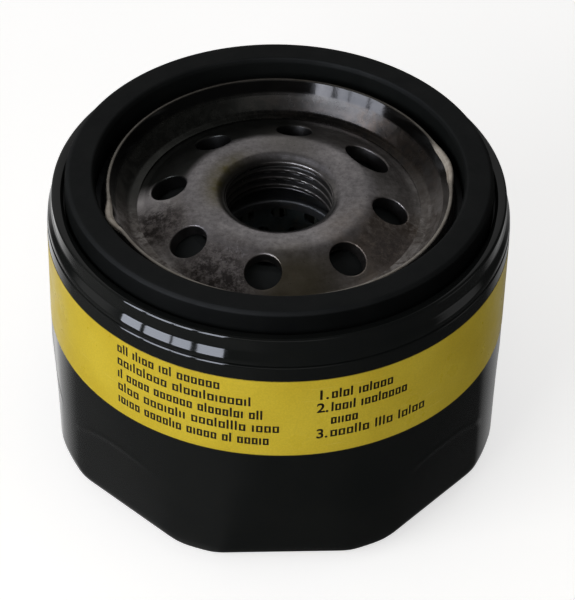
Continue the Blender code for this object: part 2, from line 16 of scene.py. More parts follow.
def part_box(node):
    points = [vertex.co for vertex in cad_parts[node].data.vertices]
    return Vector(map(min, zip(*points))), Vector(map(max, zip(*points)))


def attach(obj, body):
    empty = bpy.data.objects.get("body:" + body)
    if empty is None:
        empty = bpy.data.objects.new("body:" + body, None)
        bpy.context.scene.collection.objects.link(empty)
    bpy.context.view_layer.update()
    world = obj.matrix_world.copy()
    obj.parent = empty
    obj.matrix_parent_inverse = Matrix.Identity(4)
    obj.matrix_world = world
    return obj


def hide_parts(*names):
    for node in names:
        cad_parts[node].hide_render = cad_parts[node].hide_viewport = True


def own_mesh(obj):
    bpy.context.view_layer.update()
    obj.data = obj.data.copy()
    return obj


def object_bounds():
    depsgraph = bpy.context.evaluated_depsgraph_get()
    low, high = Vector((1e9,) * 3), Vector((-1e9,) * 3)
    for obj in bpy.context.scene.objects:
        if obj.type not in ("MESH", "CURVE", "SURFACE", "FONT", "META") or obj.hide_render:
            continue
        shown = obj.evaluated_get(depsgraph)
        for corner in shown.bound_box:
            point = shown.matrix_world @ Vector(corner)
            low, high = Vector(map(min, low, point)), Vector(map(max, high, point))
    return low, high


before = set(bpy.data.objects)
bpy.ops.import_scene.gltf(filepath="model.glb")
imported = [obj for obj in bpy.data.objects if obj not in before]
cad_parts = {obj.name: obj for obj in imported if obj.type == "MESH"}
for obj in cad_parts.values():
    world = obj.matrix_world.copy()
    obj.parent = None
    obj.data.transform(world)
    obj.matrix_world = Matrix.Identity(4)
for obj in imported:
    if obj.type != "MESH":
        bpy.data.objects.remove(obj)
cad_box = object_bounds()

MM = 0.001                      # one millimetre in metres
SIDES = 320                     # sides of the large visible pieces
INNER_SIDES = 160               # sides of the pieces inside the can
SHARP_DEGREES = 38.0            # edges that turn more than this stay sharp


# Measures taken from the frame -------------------------------------------------------

def reach(node):
    """Smallest and largest distance of a CAD node's vertices from the Z axis."""
    distances = [math.hypot(v.co.x, v.co.y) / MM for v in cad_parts[node].data.vertices]
    return min(distances), max(distances)


def span(node):
    """Lowest and highest z of a CAD node."""
    low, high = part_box(node)
    return low.z / MM, high.z / MM


def measure(node):
    """Inner and outer radius, and lowest and highest z, of a CAD node."""
    return *reach(node), *span(node)


LABEL_BOTTOM_Z, LABEL_TOP_Z = span("label_band")
SEAM_TOP_Z = span("can_shell")[1]
GASKET_TOP_Z = span("sealing_gasket")[1]
GASKET_INNER_RADIUS, GASKET_OUTER_RADIUS = reach("sealing_gasket")
LID_BOTTOM_Z, LIP_TOP_Z = span("seaming_lid")
LID_INNER_RADIUS = reach("seaming_lid")[0]
COLLAR_BOTTOM_Z, PLATEAU_Z = span("tapping_plate")
THREAD_MINOR_RADIUS, PLATE_RADIUS = reach("tapping_plate")
ELEMENT_RADIUS = reach("element_top_cap")[1]

# Driving dimensions of the fine shapes ------------------------------------------------

CAN_RADIUS = 38.0
CAN_SHEET = 0.35
CAN_CORNER = 6.0
FLAT_COUNT = 8
FLAT_SHOULDER = 0.55            # least depth of a flat, low on the wall
FLAT_SLOPE = 1.45               # further depth gained down to the closed end
FLAT_TOP_Z = 21.6
FLAT_FOOT_RADIUS = 26.0
FLAT_AZIMUTH = -87.0
FLAT_SOFTNESS = 0.45
FLAT_CREASE = 0.14              # height of the pressed edge that arches over each flat
FLAT_CREASE_Z = 18.9
FLAT_CREASE_DROP = 28.0
FLAT_CREASE_WIDTH = 0.75

SEAM_BULGE_RADIUS = 37.95
SEAM_WALL_RADIUS = 37.2
SEAM_INNER_RADIUS = 35.3
CHANNEL_FLOOR_Z = 49.1

LIP_RADIUS = 27.9
LID_SHEET = 0.25
STAKES = ((13.0, 0.58, 13.0), (199.0, 1.05, 10.0))    # azimuth, push, half width
STAKE_FOOT_Z = 49.5
STAKE_RISE = 2.9

THREAD_PITCH = 25.4 / 16.0
THREAD_DEPTH = 0.75
THREAD_CREST_Z = 47.8           # a crest passes here at azimuth 90
THREAD_TOP_Z = 49.0
PLATE_THICKNESS = 2.4
CONE_TOP = (15.8, 50.0)
CONE_FOOT = (22.2, 47.4)
CONE_SLOPE = (CONE_TOP[1] - CONE_FOOT[1]) / (CONE_FOOT[0] - CONE_TOP[0])
INLET_COUNT = 8
INLET_RADIUS = 3.0
INLET_PITCH_RADIUS = 18.35
INLET_AZIMUTH = -97.2
LONG_INLET = 3
LONG_INLET_STRETCH = 1.5

PLEAT_COUNT = 45
SHEET = 0.35                    # the element's thin steel pieces


# Mesh helpers -------------------------------------------------------------------------

def polar(radius, degrees, height):
    angle = math.radians(degrees)
    return Vector((radius * math.cos(angle), radius * math.sin(angle), height))


def smooth(low, high, value):
    """0 below low, 1 above high, and an S-curve between them."""
    part = min(1.0, max(0.0, (value - low) / (high - low)))
    return part * part * (3.0 - 2.0 * part)


def rounded(corners, closed=False, degrees_per_step=9.0):
    """Path through (r, z, bend) corners, each bend drawn as an arc of that radius."""
    path = []
    count = len(corners)
    for index, (r, z, bend) in enumerate(corners):
        here = Vector((r, z))
        if bend <= 0.0 or (not closed and index in (0, count - 1)):
            path.append(here)
            continue
        before = Vector(corners[index - 1][:2]) - here
        after = Vector(corners[(index + 1) % count][:2]) - here
        half = before.angle(after) / 2.0
        reach_back = min(bend / math.tan(half), 0.48 * before.length, 0.48 * after.length)
        radius = reach_back * math.tan(half)
        before.normalize()
        after.normalize()
        middle = here + (before + after).normalized() * (radius / math.sin(half))
        first = here + before * reach_back - middle
        last = here + after * reach_back - middle
        turn = first.angle_signed(last)
        steps = max(2, math.ceil(abs(math.degrees(turn)) / degrees_per_step))
        for step in range(steps + 1):
            angle = -turn * step / steps
            cos, sin = math.cos(angle), math.sin(angle)
            path.append(middle + Vector((first.x * cos - first.y * sin, first.x * sin + first.y * cos)))
    return [(point.x, point.y) for point in path]


def divide(path, longest):
    """The same path with no step longer than the given length."""
    points = [path[0]]
    for (r, z), (next_r, next_z) in zip(path, path[1:]):
        steps = max(1, math.ceil(math.hypot(next_r - r, next_z - z) / longest))
        for step in range(1, steps + 1):
            points.append((r + (next_r - r) * step / steps, z + (next_z - z) * step / steps))
    return points


def sheet(path, thickness):
    """Closed outline of a bent sheet: the path, and its copy offset to the right."""
    offset = []
    for index, point in enumerate(path):
        normals = []
        for first, second in ((index - 1, index), (index, index + 1)):
            if first >= 0 and second < len(path):
                run = Vector(path[second]) - Vector(path[first])
                normals.append(Vector((run.y, -run.x)).normalized())
        mitre = sum(normals, Vector((0.0, 0.0))).normalized()
        step = thickness / mitre.dot(normals[0])
        offset.append((point[0] + mitre.x * step, point[1] + mitre.y * step))
    return list(path) + offset[::-1]


def bridge(bm, ring, other):
    """Faces between two rings of vertices. A ring of one vertex is a pole."""
    count = max(len(ring), len(other))
    for index in range(count):
        after = (index + 1) % count
        around = ((ring, index), (other, index), (other, after), (ring, after))
        corners = list(dict.fromkeys(vertices[place % len(vertices)] for vertices, place in around))
        if len(corners) > 2:
            bm.faces.new(corners)


def close_loop(bm, rings):
    """Faces between each ring and the next, and between the last and the first."""
    for index, ring in enumerate(rings):
        bridge(bm, ring, rings[(index + 1) % len(rings)])


def loft(bm, rings):
    """Closed tube through a list of rings, with a flat face at each end."""
    for ring, other in zip(rings, rings[1:]):
        bridge(bm, ring, other)
    bm.faces.new(rings[0])
    bm.faces.new(rings[-1])


def revolve(outline, sides=SIDES, reshape=None, first_azimuth=0.0):
    """Spin a closed (r, z) outline about Z. A point with r = 0 becomes a single pole."""
    bm = bmesh.new()
    rings = []
    for radius, height in outline:
        if radius < 1e-4:
            rings.append([bm.verts.new((0.0, 0.0, height))])
            continue
        ring = []
        for side in range(sides):
            azimuth = math.radians(first_azimuth) + 2.0 * math.pi * side / sides
            out = reshape(azimuth, radius, height) if reshape else radius
            ring.append(bm.verts.new((out * math.cos(azimuth), out * math.sin(azimuth), height)))
        rings.append(ring)
    close_loop(bm, rings)
    return bm


def tube_along(points, radius, sides):
    """Round wire through a list of points, with flat ends."""
    bm = bmesh.new()
    rings = []
    for index, point in enumerate(points):
        before = points[max(0, index - 1)]
        after = points[min(len(points) - 1, index + 1)]
        ahead = (after - before).normalized()
        outward = Vector((point.x, point.y, 0.0)).normalized()
        outward = (outward - ahead * outward.dot(ahead)).normalized()
        across = ahead.cross(outward)
        ring = []
        for side in range(sides):
            around = 2.0 * math.pi * side / sides
            arm = outward * math.cos(around) + across * math.sin(around)
            ring.append(bm.verts.new(point + arm * radius))
        rings.append(ring)
    loft(bm, rings)
    return bm


def to_mesh(bm, name):
    """Mesh in metres of a closed bmesh in millimetres."""
    bmesh.ops.recalc_face_normals(bm, faces=bm.faces)
    bm.transform(Matrix.Scale(MM, 4))
    mesh = bpy.data.meshes.new(name)
    bm.to_mesh(mesh)
    bm.free()
    return mesh


def add_copy(bm, one, place):
    """Move a bmesh and join it to another."""
    one.transform(place)
    mesh = bpy.data.meshes.new("copy")
    one.to_mesh(mesh)
    one.free()
    bm.from_mesh(mesh)


def new_object(name, data):
    made = bpy.data.objects.new(name, data)
    bpy.context.scene.collection.objects.link(made)
    return made


def worked_out(source):
    """Mesh of an object as it stands, with its modifiers or its text worked out."""
    bpy.context.view_layer.update()
    graph = bpy.context.evaluated_depsgraph_get()
    return bpy.data.meshes.new_from_object(source.evaluated_get(graph), depsgraph=graph)


def shade(mesh, sharp_degrees=SHARP_DEGREES):
    mesh.shade_smooth()
    mesh.set_sharp_from_angle(angle=math.radians(sharp_degrees))


def add_piece(node, bm, finish, body, name=None, sharp_degrees=SHARP_DEGREES):
    """Make an object of a bmesh, ride it on its body and let it stand for its CAD node, if any."""
    name = name or node + "_fine"
    mesh = to_mesh(bm, name)
    shade(mesh, sharp_degrees)
    mesh.materials.append(finish)
    made = new_object(name, mesh)
    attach(made, body)
    if node:
        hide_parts(node)
    return made


def turn_solid(node, corners, finish, body, arc_degrees, longest, closed=True):
    """Piece inside the can, turned from the corners of its outline."""
    outline = divide(rounded(corners, closed, arc_degrees), longest)
    add_piece(node, revolve(outline, INNER_SIDES), finish, body)


def turn_sheet(node, corners, finish, arc_degrees, thickness=SHEET):
    """Thin steel piece of the element, turned from the corners of one of its faces."""
    outline = sheet(rounded(corners, False, arc_degrees), thickness)
    add_piece(node, revolve(outline, INNER_SIDES), finish, "element")


def cut(target, bm):
    """Cut closed shapes out of a piece and keep the result as its mesh."""
    cutter = new_object("cutter", to_mesh(bm, "cutter"))
    boolean = target.modifiers.new("cut", "BOOLEAN")
    boolean.operation = "DIFFERENCE"
    boolean.solver = "EXACT"
    boolean.object = cutter
    result = worked_out(target)
    target.modifiers.clear()
    shade(result)
    target.data = result
    bpy.data.objects.remove(cutter, do_unlink=True)


# Materials ----------------------------------------------------------------------------

class Nodes:
    """Short calls that add and join shader nodes, given a place to start from."""

    def __init__(self, tree, coordinates, scale=1.0):
        self.tree = tree
        self.place = self.node("ShaderNodeTexCoord").outputs[coordinates]
        self.place = self.vector("MULTIPLY", (scale, scale, scale)).outputs[0]
        split = self.node("ShaderNodeSeparateXYZ", Vector=self.place)
        self.x, self.y, self.z = (split.outputs[axis] for axis in "XYZ")

    def node(self, kind, **inputs):
        made = self.tree.nodes.new(kind)
        for name, value in inputs.items():
            self.feed(made.inputs[name.replace("_", " ")], value)
        return made

    def feed(self, socket, value):
        if isinstance(value, bpy.types.NodeSocket):
            self.tree.links.new(value, socket)
        elif isinstance(value, tuple) and len(value) == 3 and socket.type == "RGBA":
            socket.default_value = (*value, 1.0)
        else:
            socket.default_value = value

    def math(self, operation, *values):
        made = self.node("ShaderNodeMath")
        made.operation = operation
        for socket, value in zip(made.inputs, values):
            self.feed(socket, value)
        return made.outputs[0]

    def mul(self, first, *others):
        """Product of two or more values."""
        for other in others:
            first = self.math("MULTIPLY", first, other)
        return first

    def add(self, first, *others):
        for other in others:
            first = self.math("ADD", first, other)
        return first

    def most(self, first, second):
        return self.math("MAXIMUM", first, second)

    def line(self, value, slope, start):
        """The value times a slope, plus a start."""
        return self.math("MULTIPLY_ADD", value, slope, start)

    def rest(self, value):
        """What the value lacks of 1."""
        return self.math("SUBTRACT", 1.0, value)

    def length(self, x, y):
        return self.math("SQRT", self.add(self.mul(x, x), self.mul(y, y)))

    def radius(self):
        return self.length(self.x, self.y)

    def vector(self, operation, second):
        """Vector math on the place and a fixed vector."""
        made = self.node("ShaderNodeVectorMath")
        made.operation = operation
        self.feed(made.inputs[0], self.place)
        made.inputs[1].default_value = second
        return made

    def toward(self, azimuth, elevation):
        """Cosine between the place, taken as a direction, and the given direction."""
        rise = math.radians(elevation)
        return self.vector("DOT_PRODUCT", polar(math.cos(rise), azimuth, math.sin(rise))).outputs["Value"]

    def noise(self, size, detail=4.0, roughness=0.55, distortion=0.0, place=None):
        """Noise whose blobs are about the given size."""
        made = self.node(
            "ShaderNodeTexNoise", Vector=place or self.place, Scale=1.0 / size, Detail=detail,
            Roughness=roughness, Distortion=distortion,
        )
        return made.outputs["Fac"]

    def around(self, size, squash=1.0):
        """Noise laid out by azimuth, radius and height, so that its streaks run round the axis."""
        turned = self.mul(self.math("ARCTAN2", self.y, self.x), 20.0 / squash)
        place = self.node("ShaderNodeCombineXYZ", X=turned, Y=self.radius(), Z=self.z)
        return self.noise(size, 3.0, 0.6, 0.0, place.outputs[0])

    def ramp(self, value, *stops):
        """Colour ramp of (position, colour) stops; a colour may be one grey number."""
        made = self.node("ShaderNodeValToRGB", Fac=value)
        elements = made.color_ramp.elements
        while len(elements) < len(stops):
            elements.new(0.5)
        for element, (position, colour) in zip(elements, stops):
            element.position = position
            shade = (colour,) * 3 if isinstance(colour, (int, float)) else colour
            element.color = (*shade, 1.0)
        return made.outputs["Color"]

    def step(self, value, low, high):
        """0 below low, 1 above high, smooth between."""
        made = self.node("ShaderNodeMapRange", Value=value)
        made.interpolation_type = "SMOOTHSTEP"
        made.inputs["From Min"].default_value = low
        made.inputs["From Max"].default_value = high
        return made.outputs[0]

    def fall(self, value, low, high):
        """1 below low, 0 above high, smooth between."""
        return self.rest(self.step(value, low, high))

    def spot(self, x, y, size, soft=0.5):
        """1 round the vertical line at (x, y), fading to 0 at size."""
        away = self.length(self.add(self.x, -x), self.add(self.y, -y))
        return self.fall(away, size * (1.0 - soft), size)

    def mix(self, share, first, second, blend="MIX"):
        made = self.node("ShaderNodeMixRGB", Fac=share, Color1=first, Color2=second)
        made.blend_type = blend
        return made.outputs["Color"]

    def tone(self, colour, shade):
        return self.mix(1.0, colour, shade, "MULTIPLY")

    def bump(self, height, distance, below=None, strength=1.0):
        made = self.node("ShaderNodeBump", Height=height, Distance=distance * MM, Strength=strength)
        if below:
            self.feed(made.inputs["Normal"], below)
        return made.outputs["Normal"]


class Finish(Nodes):
    """A material under construction."""

    def __init__(self, name):
        self.material = bpy.data.materials.new(name)
        self.material.use_nodes = True
        self.shader = self.material.node_tree.nodes["Principled BSDF"]
        super().__init__(self.material.node_tree, "Object", 1.0 / MM)

    def done(self, colour, roughness, normal=None, **others):
        inputs = {"Base_Color": colour, "Roughness": roughness, **others}
        if normal:
            inputs["Normal"] = normal
        for name, value in inputs.items():
            self.feed(self.shader.inputs[name.replace("_", " ")], value)
        return self.material


def can_paint():
    """Gloss black paint with orange peel, rubbed patches and a little dust."""
    f = Finish("can_paint")
    dark, light = (0.0058, 0.0068, 0.0068), (0.0084, 0.0092, 0.0088)
    colour = f.ramp(f.noise(14, 5.0, 0.6, 0.8), (0.3, dark), (0.7, light))
    dust = f.ramp(f.noise(0.35, 2.0), (0.73, 0.0), (0.78, 1.0))
    dust_patch = f.ramp(f.noise(9, 3.0), (0.5, 0.0), (0.7, 0.5))
    colour = f.mix(f.mul(dust, dust_patch), colour, (0.06, 0.052, 0.042))
    rub = f.mul(f.fall(f.z, 0.3, 2.2), f.ramp(f.noise(1.6, 5.0, 0.7), (0.48, 0.0), (0.66, 1.0)))
    colour = f.mix(rub, colour, (0.045, 0.044, 0.042))
    gloss = f.ramp(f.noise(5, 4.0, 0.6, 0.5), (0.3, 0.035), (0.75, 0.085))
    gloss = f.mix(rub, gloss, (0.5, 0.5, 0.5))
    normal = f.bump(f.noise(1.6, 2.0), 0.0014)
    normal = f.bump(f.around(0.6, 6.0), 0.0004, normal)
    normal = f.bump(flat_crease(f), FLAT_CREASE, normal)
    return f.done(colour, gloss, normal, Specular_IOR_Level=0.50)


def flat_crease(f):
    """1 along the arch over each flat, fading at the flats' corners and in the middle of the front."""
    turn = f.mul(f.math("ARCTAN2", f.y, f.x), FLAT_COUNT / (2.0 * math.pi))
    turn = f.math("FRACT", f.add(turn, FLAT_COUNT + 0.5 - FLAT_AZIMUTH * FLAT_COUNT / 360.0))
    aside = f.add(turn, -0.5)
    aside = f.mul(aside, aside)
    away = f.add(f.z, f.line(aside, FLAT_CREASE_DROP, -FLAT_CREASE_Z))
    away = f.mul(away, 1.0 / FLAT_CREASE_WIDTH)
    crease = f.math("EXPONENT", f.mul(away, away, -1.0))
    return f.mul(crease, f.fall(aside, 0.05, 0.17), f.step(f.math("ABSOLUTE", f.x), 17.0, 26.0))


def label_ink():
    """Yellow print over the paint: uneven ink, darker burnt edges, faint rubs round the can."""
    f = Finish("label_ink")
    colour = f.ramp(f.noise(11, 4.0), (0.30, (0.62, 0.465, 0.030)), (0.72, (0.70, 0.545, 0.045)))
    colour = f.tone(colour, f.ramp(f.noise(0.28, 2.0), (0.35, 0.90), (0.65, 1.0)))
    edge = f.step(f.z, LABEL_BOTTOM_Z, LABEL_BOTTOM_Z + 0.2)
    edge = f.mul(edge, f.fall(f.z, LABEL_TOP_Z - 0.2, LABEL_TOP_Z))
    colour = f.mix(edge, (0.30, 0.215, 0.020), colour)
    rubs = f.ramp(f.around(0.5, 12.0), (0.64, 0.0), (0.74, 0.35))
    colour = f.mix(rubs, colour, (0.80, 0.70, 0.22))
    gloss = f.ramp(f.noise(4, 4.0), (0.3, 0.26), (0.7, 0.38))
    normal = f.bump(f.noise(0.5, 3.0), 0.0015)
    return f.done(colour, gloss, normal, Specular_IOR_Level=0.12)


def label_black():
    """Dark brown-black ink with small thin spots."""
    f = Finish("label_black")
    colour = f.ramp(f.noise(0.3, 3.0), (0.35, (0.008, 0.006, 0.003)), (0.75, (0.022, 0.015, 0.006)))
    return f.done(colour, f.ramp(f.noise(1), (0.3, 0.3), (0.7, 0.45)))


def steel_parts(f, dark, light, size):
    """Base colour of worn sheet steel: cloudy tone, fine grain and streaks round the axis."""
    colour = f.ramp(f.noise(size, 6.0, 0.62, 0.6), (0.30, dark), (0.70, light))
    colour = f.tone(colour, f.ramp(f.noise(0.22, 3.0, 0.6), (0.30, 0.82), (0.70, 1.08)))
    return f.tone(colour, f.ramp(f.around(0.35, 8.0), (0.35, 0.90), (0.65, 1.05)))


def lid_steel():
    """Bare lid: painted shade on the back wall and its foot, painted light on the front, real stains low
    on the lid and mostly on the front, smooth bead, cream worn crest that is broad at the stakes.
    """
    f = Finish("lid_steel")
    colour = steel_parts(f, (0.046, 0.044, 0.040), (0.085, 0.080, 0.075), 5)
    # side is 1 on the front and 0 at the back; it places the painted light on the front and the painted
    # shade at the back.
    side = f.fall(f.y, -6.0, 14.0)
    # Painted shade at the foot of the back of the dish, where the lid meets the plate.
    foot = f.mul(f.fall(f.z, LID_BOTTOM_Z + 0.9, LID_BOTTOM_Z + 3.2), f.rest(side), 0.75)
    colour = f.mix(foot, colour, (0.020, 0.019, 0.018))
    # Painted light: the front of the lid is painted a lighter cloudy steel than the dark back.
    lit_front_colour = f.ramp(f.noise(3.5, 5.0, 0.65), (0.35, (0.26, 0.235, 0.215)), (0.65, (0.46, 0.43, 0.41)))
    colour = f.mix(f.mul(side, 0.85), colour, lit_front_colour)
    stain = f.ramp(f.noise(2.2, 6.0, 0.72, 1.2), (0.46, 0.0), (0.58, 0.9))
    low = f.fall(f.z, LID_BOTTOM_Z + 1.4, LID_BOTTOM_Z + 3.4)
    stain = f.mul(stain, low, f.line(side, 0.75, 0.25))
    colour = f.mix(stain, colour, (0.060, 0.045, 0.037))
    # Painted shade over the back left of the dish.
    colour = f.mix(f.mul(f.spot(-20, 15, 24), 0.88), colour, (0.054, 0.056, 0.051))
    # Painted shade that dims the window's reflection on the back right of the wall.
    colour = f.mix(f.mul(f.spot(12, 21, 8, 0.8), 0.55), colour, (0.034, 0.034, 0.034))
    grime = f.most(f.spot(20, 15, 16, 0.6), f.spot(22.5, -6, 8, 0.9))
    grime = f.mul(grime, f.ramp(f.noise(1.9, 7.0, 0.75), (0.38, 0.0), (0.60, 0.8)))
    grime = f.mul(grime, f.fall(f.z, LIP_TOP_Z - 2.1, LIP_TOP_Z - 1.5))
    colour = f.mix(grime, colour, (0.060, 0.047, 0.038))
    first, second = (polar(LIP_RADIUS + 0.7, stake[0], 0.0) for stake in STAKES)
    staked = f.most(f.spot(first.x, first.y, 8.0, 0.6), f.spot(second.x, second.y, 6.0, 0.6))
    # The cream crest is worn bare metal, broadest at the stakes; its greater strength on the front than at
    # the back is painted highlight.
    crest = f.step(f.line(staked, 0.60, f.z), LIP_TOP_Z - 0.14, LIP_TOP_Z - 0.01)
    crest = f.mul(crest, f.most(staked, f.line(side, 0.20, 0.22)))
    # Painted shade: the outside of the lip and the gasket channel, between the lip and the gasket, are
    # darkened.
    outer = f.step(f.radius(), LIP_RADIUS + 0.55, LIP_RADIUS + 0.95)
    colour = f.mix(f.mul(outer, 0.9), colour, (0.040, 0.044, 0.048))
    bead = f.step(f.z, LIP_TOP_Z - 2.2, LIP_TOP_Z - 1.7)
    colour = f.mix(f.mul(bead, 0.62), colour, (0.014, 0.014, 0.015))
    cream = f.ramp(f.noise(1.5, 4.0), (0.3, (0.56, 0.49, 0.41)), (0.7, (0.88, 0.82, 0.73)))
    colour = f.mix(crest, colour, cream)
    gloss = f.ramp(f.noise(3, 5.0, 0.6), (0.3, 0.36), (0.72, 0.50))
    gloss = f.mix(side, f.ramp(f.noise(2, 5.0, 0.65), (0.3, 0.20), (0.7, 0.32)), gloss)
    gloss = f.mix(bead, gloss, (0.10, 0.10, 0.10))
    gloss = f.mix(crest, gloss, (0.42, 0.42, 0.42))
    metal = f.add(f.mul(stain, -0.5), f.mul(crest, -0.35), f.mul(side, -0.20), 0.92)
    normal = f.bump(f.noise(1.2, 4.0), 0.010)
    normal = f.bump(f.around(0.3, 10.0), 0.0018, normal)
    return f.done(colour, gloss, normal, Metallic=metal)


def plate_steel():
    """Bare thick plate: violet-grey plateau painted lighter as a reflection, brown oil stains, dark pitted
    patches, bores and inlet walls painted near black as shade, painted shade on the back left of the cone
    and a painted highlight on its left.
    """
    f = Finish("plate_steel")
    colour = steel_parts(f, (0.27, 0.248, 0.235), (0.46, 0.430, 0.415), 4.5)
    # Painted reflection: the plateau is painted a lighter violet-grey than the cone.
    plateau = f.step(f.z, PLATEAU_Z - 1.1, PLATEAU_Z - 0.25)
    colour = f.mix(f.mul(plateau, 0.55), colour, (0.50, 0.470, 0.485))
    colour = f.tone(colour, f.ramp(f.noise(7, 4.0, 0.6), (0.35, 0.80), (0.65, 1.10)))
    colour = f.tone(colour, f.ramp(f.noise(0.9, 7.0, 0.72), (0.36, 0.72), (0.64, 1.16)))
    rim = f.step(f.radius(), 14.8, 16.6)
    shade = f.mul(rim, f.most(f.spot(-7, 19, 17, 0.55), f.spot(-21, 11, 13, 0.45)))
    colour = f.mix(shade, colour, (0.038, 0.039, 0.035))
    # Painted highlight: a light streak on the left of the cone.
    colour = f.mix(f.mul(rim, f.spot(-21, -1, 6, 0.8), 0.9), colour, (0.88, 0.83, 0.83))
    warm = f.mul(f.spot(17, -12, 13, 0.9), f.ramp(f.noise(3.5, 5.0), (0.3, 0.2), (0.7, 0.95)))
    colour = f.mix(warm, colour, (0.42, 0.325, 0.24))
    grime = f.mul(f.spot(19, -8, 10, 0.6), f.ramp(f.noise(1.5, 8.0, 0.80), (0.42, 0.0), (0.53, 1.0)))
    colour = f.mix(f.mul(grime, rim), colour, (0.14, 0.112, 0.090))
    colour = f.mix(f.mul(f.spot(3, -20.5, 10, 0.8), 0.85), colour, (0.215, 0.180, 0.110))
    yellow = f.mul(f.fall(f.radius(), 10.2, 14.0), f.spot(-11, 4, 11, 0.7))
    yellow = f.mul(yellow, f.ramp(f.noise(2.2, 5.0, 0.65), (0.25, 0.35), (0.65, 1.0)))
    colour = f.mix(yellow, colour, (0.19, 0.160, 0.060))
    pits = f.ramp(f.noise(1.7, 9.0, 0.84), (0.43, 0.0), (0.54, 1.0))
    patch = f.most(f.spot(-19.5, -6.5, 8, 0.8), f.spot(-10, -19, 10.5, 0.7))
    patch = f.most(patch, f.mul(f.spot(18.5, -11, 8, 0.8), 0.80))
    dirt = f.mul(pits, patch)
    colour = f.mix(f.mul(patch, 0.70), colour, (0.205, 0.178, 0.165))
    colour = f.mix(dirt, colour, (0.024, 0.017, 0.014))
    # A duller patch behind the bore, which tones down the plateau's painted reflection there.
    colour = f.mix(f.mul(f.spot(1, 13.5, 9, 0.9), 0.60), colour, (0.22, 0.205, 0.185))
    specks = f.ramp(f.noise(0.5, 3.0, 0.6), (0.66, 0.0), (0.73, 0.7))
    colour = f.mix(specks, colour, (0.10, 0.080, 0.065))
    # Painted shade on the inlet holes' walls, below the cone's surface.
    surface = f.line(f.radius(), -CONE_SLOPE, CONE_TOP[1] + CONE_SLOPE * CONE_TOP[0])
    depth = f.math("SUBTRACT", surface, f.z)
    punched = f.mul(f.step(depth, 0.09, 0.32), f.step(f.radius(), 14.5, 14.9), 0.85)
    # Painted shade in the threaded bore and its rounded entry; thread crests stay lighter on the lit back
    # right as painted highlight, and the entry is darkest at the front.
    crest = f.fall(f.radius(), THREAD_MINOR_RADIUS + 0.05, THREAD_MINOR_RADIUS + 0.22)
    lit = f.mul(f.step(f.x, -5.0, 4.0), f.step(f.y, -3.0, 2.0))
    crest = f.mul(crest, f.line(lit, 0.65, 0.35))
    thread = f.mul(f.fall(f.z, THREAD_TOP_Z - 0.5, THREAD_TOP_Z + 0.9), f.fall(f.radius(), 10.2, 10.6))
    thread = f.mul(thread, f.line(crest, -0.75, 0.95))
    entry = f.mul(f.fall(f.z, PLATEAU_Z - 0.95, PLATEAU_Z - 0.02), f.fall(f.radius(), 10.4, 11.2))
    inside = f.most(thread, f.mul(entry, f.line(lit, -0.65, 0.92)))
    colour = f.mix(f.most(punched, inside), colour, (0.035, 0.034, 0.034))
    gloss = f.ramp(f.noise(2.8, 6.0, 0.65), (0.28, 0.30), (0.72, 0.48))
    gloss = f.mix(dirt, gloss, (0.75, 0.75, 0.75))
    gloss = f.mix(f.mul(inside, 0.5), gloss, (0.2, 0.2, 0.2))
    metal = f.line(dirt, -0.7, 0.92)
    normal = f.bump(f.noise(1.0, 5.0, 0.6), 0.016)
    normal = f.bump(dirt, 0.03, normal, 0.7)
    normal = f.bump(f.around(0.25, 9.0), 0.002, normal)
    return f.done(colour, gloss, normal, Metallic=metal)


def rubber(name, dark, light, shine):
    """Moulded nitrile: cloudy tone kept on upward faces, other faces darkened as painted shade except near
    the gasket's inner edge, fine pebbling and faint mould rings.
    """
    f = Finish(name)
    colour = f.ramp(f.noise(8, 5.0, 0.6, 0.5), (0.3, dark), (0.72, light))
    # Painted shade: faces that do not face up are darkened, less so near the gasket's inner edge.
    facing = f.node("ShaderNodeSeparateXYZ", Vector=f.node("ShaderNodeTexCoord").outputs["Normal"])
    upward = f.step(facing.outputs["Z"], 0.25, 0.95)
    inner = f.fall(f.radius(), GASKET_INNER_RADIUS + 0.3, GASKET_INNER_RADIUS + 1.2)
    shaded = f.mix(f.line(inner, -0.50, 0.50), colour, (0.0, 0.0, 0.0))
    colour = f.mix(upward, shaded, colour)
    lint = f.ramp(f.noise(0.3, 2.0), (0.74, 0.0), (0.79, 0.6))
    colour = f.mix(lint, colour, (0.05, 0.048, 0.042))
    gloss = f.ramp(f.noise(3, 4.0), (0.3, shine), (0.7, shine + 0.14))
    normal = f.bump(f.noise(0.25, 3.0), 0.006)
    normal = f.bump(f.around(0.4, 14.0), 0.002, normal)
    return f.done(colour, gloss, normal, Specular_IOR_Level=f.line(upward, 0.16, 0.05))


def bright_steel(name, dark, light, gloss=0.28, metallic=0.95):
    """Tinplate or drawn wire inside the can, with a film of oil haze."""
    f = Finish(name)
    colour = steel_parts(f, dark, light, 6)
    haze = f.ramp(f.noise(3, 5.0, 0.65, 0.8), (0.55, 0.0), (0.75, 0.5))
    colour = f.mix(haze, colour, (0.24, 0.20, 0.14))
    rough = f.ramp(f.noise(2, 5.0), (0.3, gloss), (0.7, gloss + 0.16))
    normal = f.bump(f.around(0.25, 10.0), 0.003)
    return f.done(colour, rough, normal, Metallic=metallic)


